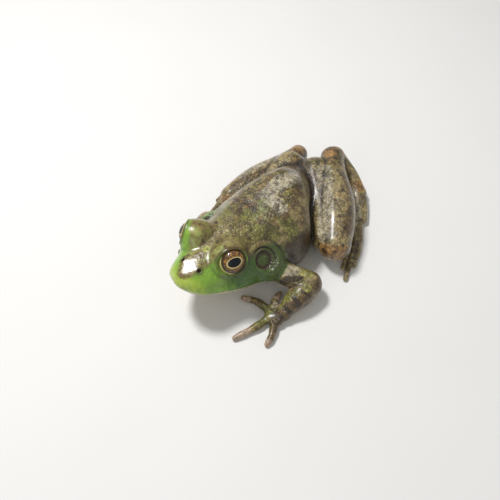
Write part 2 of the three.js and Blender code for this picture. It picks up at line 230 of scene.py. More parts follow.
RIGHT_LEG_WIDTH = 0.8  # the right thigh and shank are pressed together
FLOOR_ROUNDING = 0.25  # how softly the flesh turns up from the flats it rests on
WEB_THICKNESS = 0.8
WEB_REACH = 0.75  # how far along the toes the web goes
WEB_DIP = 0.3  # how far its edge dips towards the foot between two toes

# How softly each piece of flesh runs into what it grows from, in millimetres.
SOFTNESS = {
    "neck": 5,
    "brow": 2.4,
    "cheek": 3.5,
    "lid": 1.8,
    "rim": 0.5,
    "fold": 1.2,
    "web": 0.8,
    "upper_arm": 1.6,
    "forearm": 1.0,
    "hand": 1.4,
    "finger": 0.9,
    "thigh": 2.4,
    "shank": 0.6,
    "ankle": 1.4,
    "foot": 1.4,
    "toe": 0.7,
}

# ---------------------------- lines and fields


def curve(points, count):
    """`count` places on a Catmull-Rom curve through the points, evenly spread in its parameter.

    Between b and c the place is (2b + (c-a)t + (2a-5b+4c-d)t^2 + (3b-a-3c+d)t^3) / 2.
    """
    p = np.asarray(points, float)
    ends = 2 * p[0] - p[1], 2 * p[-1] - p[-2]
    p = np.vstack([ends[0], p, ends[1]])
    s = np.linspace(0, len(points) - 1, count)
    i = np.minimum(s.astype(int), len(points) - 2)
    t = (s - i)[:, None]
    a, b, c, d = p[i], p[i + 1], p[i + 2], p[i + 3]
    cubic = (3 * b - a - 3 * c + d) * t**3
    return (2 * b + (c - a) * t + (2 * a - 5 * b + 4 * c - d) * t**2 + cubic) / 2


def blend(a, b, soft):
    """The lower of two distances, with a fillet: min(a, b) - soft * max(1 - |a-b|/soft, 0)^2 / 4."""
    near = np.maximum(1 - np.abs(a - b) / soft, 0)
    return np.minimum(a, b) - soft * near**2 / 4


def carve(a, b, soft):
    """What is left of a once b is taken out of it, with a rounded edge."""
    return -blend(-a, b, soft)


def columns(table, keys, at):
    """Each column of the table at places between its keys."""
    return [np.interp(at, keys, column) for column in table.T]


def unit(v):
    """The vector, or each row of vectors, with length 1."""
    v = np.asarray(v, float)
    return v / np.linalg.norm(v, axis=-1, keepdims=True)


def dot(a, b):
    """The rows' dot products."""
    return np.einsum("ij,ij->i", a, b)


def length(v):
    """The rows' lengths."""
    return np.linalg.norm(v, axis=1)


def bell(x, width):
    """1 where x is 0, falling off to both sides: exp(-(x/width)^2)."""
    return np.exp(-((x / width) ** 2))


def reach_along(line):
    """How far along a line each of its points lies, from 0 to 1."""
    steps = length(np.diff(line, axis=0))
    return np.concatenate([[0], np.cumsum(steps)]) / steps.sum()


def ellipsoid(p, centre, halves):
    """Distance to an ellipsoid, near its surface: k(k-1)/g with k = |q/h| and g = |q/h^2|."""
    q = (p - centre) / halves
    k = length(q) + 1e-6
    return k * (k - 1) / (length(q / halves) + 1e-6)


def pillow(p, centre, halves, power):
    """Distance to an ellipsoid with fuller shoulders, near its surface: (k - 1)/g with
    k = (sum of |q/h|^n)^(1/n) and g the length of its slope.
    """
    q = np.abs((p - centre) / halves) + 1e-6
    k = np.sum(q**power, axis=1) ** (1 / power)
    return (k - 1) / length((q / k[:, None]) ** (power - 1) / halves)


def barrel(p, rows, caps):
    """Distance to a body of upright superellipse sections, (u/side)^n + (v/high)^n = 1.

    Past its front and rear sections the body goes on as half ellipsoids of the caps' lengths.
    """
    table = curve(rows, 240)
    table = table[np.argsort(table[:, 0])]
    along = np.clip(p[:, 1], table[0, 0], table[-1, 0])
    x, z, side, up, down, top, bottom = columns(table[:, 1:], table[:, 0], along)
    u, v, w = p[:, 0] - x + 1e-3, p[:, 2] - z, p[:, 1] - along
    power = np.where(v > 0, top, bottom)
    high = np.where(v > 0, up, down)
    ring = (np.abs(u / side) ** power + np.abs(v / high) ** power) ** (1 / power)
    share = np.hypot(ring, w / np.where(w < 0, *caps))
    return np.sqrt(u * u + v * v + w * w) * (1 - 1 / share)


def nearest_on(p, line):
    """Where along the line each point's nearest place lies, the line's own reach, and distances."""
    reach = reach_along(line)
    best = np.full(len(p), np.inf)
    place = np.zeros(len(p))
    for a, b, start, end in zip(line, line[1:], reach, reach[1:]):
        ab = b - a
        t = np.clip((p - a) @ ab / (ab @ ab), 0, 1)
        away = p - a - t[:, None] * ab
        square = dot(away, away)
        closer = square < best
        best[closer] = square[closer]
        place[closer] = (start + t * (end - start))[closer]
    return place, reach, np.sqrt(best)


def limb(p, joints, profile, steps=20):
    """Distance to flesh round a line: at each place an ellipse across the line, half
    ellipsoids at both ends, and half width and half height from the profile."""
    line = curve(joints, steps + 1)
    place, reach, _ = nearest_on(p, line)
    centre = np.stack(columns(line, reach, place), axis=1)
    ahead = unit(np.stack(columns(np.gradient(line, axis=0), reach, place), axis=1))
    across = unit(np.cross(ahead, (0, 0, 1)))
    above = np.cross(across, ahead)
    sizes = curve(profile, 41)
    wide, high = columns(sizes, np.linspace(0, 1, 41), place)
    cap = np.where(place < 0.5, min(profile[0]), min(profile[-1]))
    q = p - centre
    beyond = np.abs(place - 0.5) > 0.499999
    local = np.stack([dot(q, across), dot(q, above), np.where(beyond, dot(q, ahead), 0)], axis=1)
    halves = np.stack([wide, high, cap], axis=1)
    k = length(local / halves) + 1e-6
    return k * (k - 1) / (length(local / halves**2) + 1e-6)


def mound(p, centre, spread, depth):
    """Added to a field, a soft dent, or a swelling below 0: depth * exp(-|(p-c)/spread|^2 / 2)."""
    q = (p - centre) / spread
    return depth * np.exp(-dot(q, q) / 2)


def smooth_step(low, high, value):
    """0 below low, 1 above high, and 3t^2 - 2t^3 between."""
    t = np.clip((value - low) / (high - low), 0, 1)
    return t * t * (3 - 2 * t)


# ---------------------------- the head's features


def mirrored(p):
    """Each point's likeness on the head's left side, which is a little broader than the right."""
    q = p * (1, 1, 1)
    q[:, 0] = np.hypot(q[:, 0], 1)
    cheek = smooth_step(7, 12, length(q - EYE_CENTRE)) * smooth_step(6, 14, q[:, 0])
    right = smooth_step(0, -5, p[:, 0])
    q[:, 0] += (RIGHT_EYE_IN + (RIGHT_CHEEK_IN - RIGHT_EYE_IN) * cheek) * right
    q[:, 2] += RIGHT_EAR_DROP * cheek * right * smooth_step(14, 21, q[:, 2])
    return q


def facing_frame(facing):
    """Unit vectors of a thing on the left side of the head: where it faces, to the rear, and up."""
    ahead = unit(facing)
    rear = unit(np.cross((0, 0, 1), ahead))
    return ahead, rear, np.cross(ahead, rear)


def lid_angle(rear, up, right):
    """Degrees from the opening's middle to the lids' edge, in the direction (rear, up)."""
    turn = np.arctan2(up, rear)
    side, upper, lower = (np.where(right, b, a) for a, b in zip(*LID_OPENING))
    tall = np.where(up > 0, upper, lower)
    return 1 / np.sqrt((np.cos(turn) / side) ** 2 + (np.sin(turn) / tall) ** 2)


def eye_place(q, right):
    """Distance from the left eye's centre, and degrees past the edge of the lids."""
    away = q - EYE_CENTRE
    left_axes, right_axes = (facing_frame(facing) for facing in LID_FACING)
    ahead, rear, up = (np.where(right, away @ b, away @ a) for a, b in zip(left_axes, right_axes))
    angle = np.degrees(np.arctan2(np.hypot(rear, up), ahead))
    return length(away), angle - lid_angle(rear, up, right)


def mouth_height(p):
    """Height above the mouth line, which climbs towards the snout."""
    table = curve(HEAD, 120)[::-1]
    y = np.maximum(p[:, 1], table[0, 0])
    return p[:, 2] - np.interp(y, table[:, 0], table[:, 2])


def on_jaw(p):
    """1 before the corners of the mouth and 0 behind them."""
    return smooth_step(JAW_CORNER_Y + 3, JAW_CORNER_Y - 1.5, p[:, 1])


def drum_place(q):
    """Distance from the eardrum's axis, height above its plane, and 1 behind it and 0 before it."""
    facing, rear, up = facing_frame(DRUM_FACING)
    q = q - DRUM_CENTRE - DRUM_OUT * facing
    ring = np.hypot(q @ rear, q @ up)
    return ring, q @ facing, smooth_step(-0.35, 0.25, (q @ rear + 0.3 * (q @ up)) / (ring + 0.01))


def head_features(value, p):
    """Brows, lids, cheeks, ridges, nostrils, eardrums, folds and mouth, the same on both sides."""
    near = np.flatnonzero(p[:, 1] < -20)
    q = mirrored(p[near])
    right = p[near, 0] < 0
    f = value[near]
    f = blend(f, pillow(q, **BROW), SOFTNESS["brow"])
    f = blend(f, ellipsoid(q, **CHEEK) + RIGHT_CHEEK_FLATTER * right, SOFTNESS["cheek"])
    away, past_lid = eye_place(q, right)
    f = blend(f, away - EYE_RADIUS - LID_THICKNESS, SOFTNESS["lid"])
    rim = np.hypot(away - EYE_RADIUS - 0.15, away * np.radians(past_lid - 5)) - LID_RIM
    f = blend(f, rim, SOFTNESS["rim"])
    for centre, spread, depth in HEAD_DENTS:
        f += mound(q, centre, spread, depth)
    f = carve(f, ellipsoid(q, NOSTRIL, NOSTRIL_HALVES), 0.35)
    place, _, apart = nearest_on(q, curve(FOLD, 29))
    girth = np.interp(place, *FOLD_GIRTH)
    f = blend(f, apart - girth + RIGHT_FOLD_THINNER * right, SOFTNESS["fold"])
    ring, high, behind = drum_place(q)
    flat = smooth_step(DRUM_RADIUS + 1.5, DRUM_RADIUS - 0.2, ring) * smooth_step(3.4, 2.2, np.abs(high))
    f = f * (1 - flat) + high * flat
    close = bell(high, 2.2)
    f += 0.4 * bell(ring - DRUM_RADIUS - 1, 0.45) * close * behind
    f -= 0.35 * bell(ring - DRUM_RADIUS, 0.55) * close
    f += 0.45 * smooth_step(DRUM_RADIUS - 0.3, DRUM_RADIUS - 1.1, ring) * close
    f -= 0.4 * bell(ring, 1.4) * close
    lip, jaw = mouth_height(q), on_jaw(q)
    f -= 0.35 * bell(lip - 1.3, 1.5) * jaw
    f += 0.5 * smooth_step(0.1, -0.35, lip) * jaw * smooth_step(-9, -3, lip)
    f += 0.5 * bell(lip, 0.34) * jaw
    inside_lids = np.maximum(away * np.radians(past_lid), EYE_RADIUS - 0.9 - away)
    value[near] = carve(f, inside_lids, 0.3)


# ---------------------------- the whole skin's field


def web(p, toes):
    """Distance to the web, WEB_THICKNESS high: an outline that dips between the toes."""
    root = np.array(toes[2][0][:2])
    ends = []
    for joints in toes:
        line = curve(joints, 41)
        ends.append(columns(line[:, :2], reach_along(line), WEB_REACH))
    ends = np.array(ends)
    t = np.linspace(0, 1, 9)[1:, None]
    outline = [np.array(toes[0][0][:2])[None], ends[:1]]
    for a, b in zip(ends, ends[1:]):
        dip = (a + b) / 2 * (1 - WEB_DIP) + root * WEB_DIP
        outline.append(a * (1 - t) ** 2 + 2 * dip * t * (1 - t) + b * t**2)
    outline = np.vstack([*outline, np.array(toes[4][0][:2])[None]])
    q = p[:, :2]
    inside = np.zeros(len(q), bool)
    best = np.full(len(q), np.inf)
    for a, b in zip(outline, np.roll(outline, -1, axis=0)):
        ab = b - a
        t = np.clip((q - a) @ ab / (ab @ ab), 0, 1)
        best = np.minimum(best, length(q - a - t[:, None] * ab))
        spans = (a[1] > q[:, 1]) != (b[1] > q[:, 1])
        rise = np.where(ab[1] == 0, 1e-9, ab[1])
        inside ^= spans & (q[:, 0] < a[0] + (q[:, 1] - a[1]) * ab[0] / rise)
    flat = np.where(inside, -best, best)
    return np.maximum(flat, p[:, 2] - WEB_THICKNESS)


def pieces_of(side, width):
    """The limb pieces of a side, each with its name, its line's joints and its profile."""
    for name in ("upper_arm", "forearm", "hand", "thigh", "shank", "ankle", "foot"):
        profile = PROFILES[name]
        if name in ("thigh", "shank"):
            profile = [(wide * width, high) for wide, high in profile]
        yield name, side[name], profile
    for joints in side["fingers"]:
        yield "finger", joints, PROFILES["finger"]
    for joints in side["toes"]:
        yield "toe", joints, PROFILES["toe"]


def near_line(p, joints, margin):
    """The points within a margin of the box round a line."""
    line = np.array(joints, float)
    low, high = line.min(0) - margin, line.max(0) + margin
    return np.flatnonzero(np.all((p > low) & (p < high), axis=1))


def body_distance(p):
    """Signed distance to the trunk and the head, without the limbs."""
    on_head = mirrored(p)
    on_head[:, 0] = np.copysign(on_head[:, 0], p[:, 0])
    value = blend(barrel(p, TRUNK, TRUNK_CAPS), barrel(on_head, HEAD, HEAD_CAPS), SOFTNESS["neck"])
    for centre, spread, depth in TRUNK_DENTS:
        value += mound(p, centre, spread, depth)
    head_features(value, p)
    return value


def skin_distance(p):
    """Signed distance to the frog's skin, near it and in millimetres: below 0 is inside."""
    value = body_distance(p)
    for side, width in ((LEFT, 1), (RIGHT, RIGHT_LEG_WIDTH)):
        for name, joints, profile in pieces_of(side, width):
            soft = SOFTNESS[name]
            near = near_line(p, joints, np.max(profile) + soft + 1)
            value[near] = blend(value[near], limb(p[near], joints, profile), soft)
        near = near_line(p, sum(side["toes"], []), 3)
        value[near] = blend(value[near], web(p[near], side["toes"]), SOFTNESS["web"])
    return carve(value, p[:, 2], FLOOR_ROUNDING)


# ---------------------------- from the field to a mesh

LONGEST_MOVE = 0.4  # the furthest that a point goes in one step towards the surface
STRETCH = 1.35
REFINEMENTS = 3
# The length wanted of the mesh's edges, in millimetres.
EDGE_LENGTH = {
    "body": 0.9,
    "face": 0.6,
    "hands": 0.6,
    "eardrums": 0.42,
    "lips": 0.3,
    "lids": 0.26,
    "nostrils": 0.26,
}
CORNERS = [(i, j, k) for i in (0, 1) for j in (0, 1) for k in (0, 1)]
CELL_EDGES = [(a, b) for a in CORNERS for b in CORNERS if sum(b) == sum(a) + 1 and np.all(np.array(a) <= b)]


def surface_net(value, low, step):
    """A closed mesh of quads where the grid's values change sign.

    Each cell that the surface crosses has one point, the mean of the crossings on its
    edges, and each grid edge that it crosses has one quad through its four cells.
    """
    inside = value < 0
    shape = np.array(value.shape) - 1
    ends = [tuple(slice(at, at + size) for at, size in zip(corner, shape)) for corner in CORNERS]
    count = sum(inside[end].astype(int) for end in ends)
    mixed = (count > 0) & (count < 8)
    point_in = np.full(shape, -1)  # the place in the list of points of each cell's own point
    point_in[mixed] = np.arange(mixed.sum())
    cells = np.argwhere(mixed)
    total = np.zeros(cells.shape)
    hits = np.zeros(len(cells))
    for a, b in CELL_EDGES:
        first = value[tuple((cells + a).T)]
        second = value[tuple((cells + b).T)]
        crossed = (first < 0) != (second < 0)
        t = (first / np.where(crossed, first - second, 1))[:, None]
        total += np.where(crossed[:, None], a + t * (np.array(b) - a), 0)
        hits += crossed
    points = low + (cells + total / hits[:, None]) * step
    quads = []
    for axis in range(3):
        u, v = np.roll(np.eye(3, dtype=int), -axis - 1, axis=0)[:2]
        first = np.take(inside, range(shape[axis]), axis)
        second = np.take(inside, range(1, shape[axis] + 1), axis)
        at = np.argwhere(first != second)
        ring = [point_in[tuple((at - shift).T)] for shift in (u + v, v, 0 * u, u)]
        quad = np.stack(ring, axis=1)
        leaves = first[tuple(at.T)]
        quads.append(np.where(leaves[:, None], quad, quad[:, ::-1]))
    return points, np.vstack(quads)


def triangles_of(points, quads):
    """Each quad as two triangles, cut along its shorter diagonal."""
    a, b, c, d = quads.T
    short = length(points[a] - points[c]) < length(points[b] - points[d])
    first = np.where(short, [a, b, c], [a, b, d])
    second = np.where(short, [a, c, d], [b, c, d])
    return np.hstack([first, second]).T


def edges_of(faces, count):
    """The mesh's edges, each once, and the three edges' numbers of every face."""
    pairs = np.sort(np.stack([faces, np.roll(faces, -1, axis=1)], axis=2), axis=2).reshape(-1, 2)
    code, index = np.unique(pairs[:, 0] * count + pairs[:, 1], return_inverse=True)
    return np.stack([code // count, code % count], axis=1), index.reshape(-1, 3)


def split_long_edges(points, faces, wanted):
    """Cuts each edge longer than wanted times STRETCH at its middle, and its faces into two to four."""
    edges, of_face = edges_of(faces, len(points))
    ends = points[edges]
    centre = ends.mean(axis=1)
    marked = length(ends[:, 0] - ends[:, 1]) > STRETCH * wanted(centre)
    middle = np.where(marked, len(points) + np.cumsum(marked) - 1, -1)[of_face]
    turn = np.zeros(len(faces), int)
    cuts = (middle >= 0).sum(axis=1)
    one = cuts == 1
    turn[one] = np.argmax(middle[one] >= 0, axis=1)
    two = cuts == 2
    turn[two] = (np.argmax(middle[two] < 0, axis=1) + 1) % 3
    order = (np.arange(3) + turn[:, None]) % 3
    a, b, c = np.take_along_axis(faces, order, 1).T
    ab, bc, ca = np.take_along_axis(middle, order, 1).T
    three = cuts == 3
    made = [
        faces[cuts == 0],
        *(np.stack(f, axis=1)[one] for f in ((a, ab, c), (ab, b, c))),
        *(np.stack(f, axis=1)[two] for f in ((a, ab, bc), (ab, b, bc), (a, bc, c))),
        *(np.stack(f, axis=1)[three] for f in ((a, ab, ca), (ab, b, bc), (bc, c, ca), (ab, bc, ca))),
    ]
    return np.vstack([points, centre[marked]]), np.vstack(made)


def slope_of(field, p, value, step=0.03):
    """The field's gradient by forward differences."""
    return np.stack([(field(p + step * axis) - value) / step for axis in np.eye(3)], axis=1)


def settle(points, field, rounds):
    """Moves the points onto the surface by Newton's steps, p - f * grad f / |grad f|^2."""
    for _ in range(rounds):
        value = field(points)
        slope = slope_of(field, points, value)
        square = np.maximum(dot(slope, slope), 0.2)
        shift = -(value / square)[:, None] * slope
        far = length(shift)[:, None]
        points = points + shift * np.minimum(1, LONGEST_MOVE / np.maximum(far, 1e-9))
    return points


def normals_of(points, faces):
    """Unit normals of the points: the mean of their faces' normals, weighted by area."""
    a, b, c = (points[faces[:, k]] for k in range(3))
    flat = np.cross(b - a, c - a)
    total = np.zeros(points.shape)
    for axis in range(3):
        for k in range(3):
            total[:, axis] += np.bincount(faces[:, k], flat[:, axis], len(points))
    return unit(total + 1e-12)


def relax(points, faces, rounds, along_only=True, share=0.5):
    """Moves each point towards the mean of its neighbours, along the surface only if asked."""
    edges, _ = edges_of(faces, len(points))
    ends = np.vstack([edges, edges[:, ::-1]])
    degree = np.maximum(np.bincount(ends[:, 0], minlength=len(points)), 1)[:, None]
    for _ in range(rounds):
        sums = [np.bincount(ends[:, 0], points[ends[:, 1], k], len(points)) for k in range(3)]
        mean = np.stack(sums, axis=1)
        shift = mean / degree - points
        if along_only:
            normal = normals_of(points, faces)
            shift -= dot(shift, normal)[:, None] * normal
        points = points + share * shift
    return points


def wanted_edge(p):
    """The length wanted of edges at each place: short at lids, nostrils, eardrums and mouth."""
    q = mirrored(p)
    size = np.full(len(p), EDGE_LENGTH["body"])
    size[(p[:, 1] < -26) & (p[:, 2] > 6)] = EDGE_LENGTH["face"]
    size[(p[:, 1] < -28) & (p[:, 2] < 6)] = EDGE_LENGTH["hands"]
    away, past_lid = eye_place(q, p[:, 0] < 0)
    lids = (np.abs(away - EYE_RADIUS - 0.3) < 1.2) & (past_lid > -8) & (past_lid < 16)
    size[lids] = EDGE_LENGTH["lids"]
    size[length(q - NOSTRIL) < 2] = EDGE_LENGTH["nostrils"]
    ring, high, _ = drum_place(q)
    size[(ring < 5.9) & (np.abs(high) < 3)] = EDGE_LENGTH["eardrums"]
    lips = (np.abs(mouth_height(q)) < 0.8) & (p[:, 1] < JAW_CORNER_Y + 3) & (p[:, 2] > 6)
    size[lips] = EDGE_LENGTH["lips"]
    return size


def skin_mesh(step):
    """The skin's points and triangles: a net on a coarse grid, then finer where it matters."""
    low = np.array(CAD_BOUNDS[0]) / MM - 1.5 * step
    high = np.array(CAD_BOUNDS[1]) / MM + 2 * step
    axes = [np.arange(a, b, step) for a, b in zip(low, high)]
    grid = np.stack(np.meshgrid(*axes, indexing="ij"), axis=-1)
    value = skin_distance(grid.reshape(-1, 3)).reshape(grid.shape[:3])
    points, quads = surface_net(value, low, step)
    faces = triangles_of(points, quads)
    points = settle(relax(points, faces, 3), skin_distance, 2)
    for _ in range(REFINEMENTS):
        points, faces = split_long_edges(points, faces, wanted_edge)
        points = settle(relax(points, faces, 1), skin_distance, 2)
    return points, faces


# ---------------------------- where each colour lies

# Soft stains as (x, y, z, radius), and lines of them as ((x, y, z), (x, y, z), radius).
STAINS = {
    "warm": [
        (37.8, -6.4, 10.6, 3.6), (40.1, -2.8, 13.1, 2.8), (33, -8.6, 8, 4.6),
        ((31, -6.6, 13), (38, -4.8, 14), 2.6), (36, -3, 7, 6), (5.5, 35.3, 21.8, 3.6),
        (6.4, 39.5, 16, 5.5), (22, 39, 5, 4.5), (-17.5, -9, 8.5, 6.5), (-10, 32.4, 16, 3.6),
        (-10.6, 35, 11, 4.5),
    ],
    "yellow": [
        (33.8, -21.7, 13.6, 2.5), (31.4, -24.2, 14.4, 1.6), (37.3, -27.1, 12.5, 2.0),
        (34.6, -26.2, 12.8, 1.5), (-16.4, -25.6, 14, 2.2), (-19, -22.6, 12.4, 2.2),
    ],
    "grey_and_painted_sheen": [  # pale grey along the back and the upper edges of the legs: partly the skin's own grey, partly painted wet sheen
        ((6.8, 4.5, 32.6), (3.5, -5.1, 32), 3.8), ((11.8, -12, 30.2), (2.4, -10.6, 30.9), 3),
        ((9.8, 24.8, 21.1), (20.7, 10.3, 19.8), 3.5), ((20.7, 10.3, 19.8), (28.5, -1.5, 16.5), 3.7),
        ((32.2, -1.2, 17.8), (30, -4, 15), 2.2), ((21.8, 35, 6.7), (31.6, 24.4, 4.5), 1.8),
        ((-20.5, 1.4, 16.7), (-16.2, 17.5, 17), 1.9), ((-16.2, 17.5, 17), (-13.7, 23.6, 17.8), 1.8),
        (29.9, -37.7, 4.6, 2.4), ((29.4, -24.3, 14.8), (25.4, -27.8, 15.4), 2.6), (-13.6, -26.6, 15, 3),
        (-17, -40, 4.6, 2.4),
    ],
    "moss": [
        ((32, -36.2, 7.7), (34.5, -31.1, 11.7), 1.7), (31.4, -32.5, 8, 2),
        ((29.2, -42, 4.2), (28.2, -47, 3), 2.5), ((-17.6, -36, 6.4), (-17.8, -30, 9.4), 2),
        (-16.6, -43.4, 3, 2), ((9, -27.6, 27.6), (14.4, -21.6, 24.6), 3.6),
        ((3.3, -21.9, 29.3), (5.7, -14.9, 30.4), 3.4), ((14.7, -14, 28.4), (21.5, -15, 22.6), 3.2),
        ((-6, -28.6, 28), (-11, -22, 24), 3.4),
    ],
    "rose": [
        (25.4, -57, 1.5, 5.4), (26.8, -31.6, 1.5, 4), (15.8, -42, 1.5, 3.6), (36.8, -53, 1.2, 2.4),
        (-12.4, -51.4, 1.4, 3.4), (-13.2, -32, 1.4, 3.4), (-4.8, -42, 1.4, 3.4), (-17.8, -49, 1.4, 3),
    ],
    "bark": [  # brown
        (40, -22.4, 10.6, 3.4), ((39.4, -29.4, 9.6), (36.6, -38, 6), 3.4),
        ((34.6, -41, 5.6), (36.6, -51, 2.4), 2.1), ((34.4, 6, 15.6), (19.6, 27, 18.4), 3.8),
        (36, 0, 14, 3), (8.4, -10.3, 31.2, 1.4), (12, -2.4, 31.5, 1.3), (14.9, -13.3, 28.6, 2.2),
        (1.7, -17.9, 29.5, 2.2), ((-1, 19.7, 20.3), (8.8, 17.6, 19.9), 3.8),
        ((14.7, -0.1, 29), (11.2, 0.4, 31.8), 1.5), ((-22, -25.4, 8.4), (-20.6, -36, 5), 2.6),
        ((-20.1, -4.9, 16.2), (-13.5, 10.8, 17.2), 1.3), ((-23, 1, 11), (-18, 18, 11), 3.4),
    ],
    "patch": [  # dark bands and streaks
        ((27.4, -30.8, 11.2), (29.2, -29, 13.3), 1.7), ((29.2, -29, 13.3), (33, -25.8, 13.6), 1.3),
        ((35.6, -33.4, 10.6), (39, -33.8, 8.6), 1.1), ((34.4, -38, 7.8), (37.4, -37.8, 6), 1.1),
        ((36.8, -29.6, 11.8), (39.6, -28.6, 10), 0.9), (35.2, -41.4, 5.4, 1.0),
        ((-15.4, -30, 11.6), (-18.4, -27.4, 12), 1.4), ((-19.6, -32.6, 9), (-22.4, -32.4, 7), 1),
    ],
    "leg_spot": [
        (31.5, -4.3, 16.2, 1.0), (32.5, -7.3, 12.2, 1.4), (37, -6, 13.9, 1.0), (38.4, -2.4, 15.7, 0.9),
        (36.7, -6.9, 9.9, 1.0), (28.6, -5.4, 11.9, 0.8), (23.8, 12.4, 21.5, 0.8), (29.8, 7, 20.3, 1.0),
        (29.7, 2.5, 19, 0.7), (15.7, 20.6, 21.9, 0.6), (15, 27.5, 22.3, 0.7), (23.6, 19.1, 22, 0.9),
        (34.7, 4.4, 18.3, 1.0), (10.1, 33.4, 22.3, 0.8), (-11.1, 31.8, 16.4, 0.6),
        (-8.4, 32.3, 15.6, 0.6), (-8.3, 24.9, 20.7, 0.6),
    ],
}
PAINTED_HIGHLIGHT = [((6.8, -45, 31.8), (5.6, -50, 28.8), 3)]  # painted highlight: pale green in front of the brows, both sides
SPOTS = [
    (1.3, -50.1, 29.2, 0.95), (2.1, -54.5, 28.5, 0.6), (-0.8, -49.6, 29.3, 0.5),
    (3.6, -52.6, 28.6, 0.5), (-3.4, -52.4, 28.6, 0.7), (1.8, -41.1, 30.2, 0.9),
    (-2.6, -44.4, 30, 0.7), (7.5, -42.8, 32.6, 0.7), (-7.4, -40.6, 32.4, 0.9),
    (0, -36.5, 30.2, 1.1), (5.4, -35, 29.6, 0.9), (-5.2, -33.8, 29.4, 1.2), (1.6, -32.1, 29.6, 1.3),
    (9.6, -31, 27.6, 0.9), (13.7, -25.1, 24.8, 1.3), (9.7, -22, 27.8, 1.4),
]
BROW_DOT = (0.9, -46.1, 29.7)  # the pale spot between the eyes, with a dark middle
GREEN_EDGE = {  # how far from the middle the green of the face starts, at each place along it
    "y": (-64, -62.6, -61, -58, -54, -50, -46.5, -43, -38, -33, -28, -24, -20),
    "x": (-5, -1, 2.4, 4.4, 5.4, 6.2, 8.6, 11.4, 14.2, 14.8, 15.6, 17.4, 19.5),
}
FOOT_STREAK = [(28.6, 33, 4.4), (31.8, 22.4, 3.2), (35.4, 11, 2.2)]  # pale, along the left foot: partly the foot's pale side, partly painted sheen
GROOVES = ((4, 0.1), (24, 0.5))  # rounds of smoothing, and the depth below it that counts as full, for the painted shade in grooves
NAPE = (-3.6, -22.4, 28)  # the middle of the arcs of fine ridges
NAPE_ARCS = (0.4, -26.4, 28)  # where they show


def stain(p, spots, flat=1.0):
    """1 in the middle of each spot and 0 beyond 1.35 of its radius; heights count times flat."""
    worn = np.zeros(len(p))
    for *ends, radius in spots:
        start, end = ends if len(ends) == 2 else (ends, ends)
        line = np.subtract(end, start)
        t = np.clip((p - start) @ line / (line @ line + 1e-9), 0, 1)
        away = length((p - start - t[:, None] * line) * (1, 1, flat))
        worn = np.maximum(worn, smooth_step(1.35 * radius, 0.65 * radius, away))
    return worn


def hollow_of(points, faces, rounds, full):
    """How far the skin lies below its smoothed self, from 0 to 1 at full millimetres."""
    smooth = relax(points, faces, rounds, along_only=False)
    deep = dot(smooth - points, normals_of(points, faces))
    return np.clip(deep / full, 0, 1)


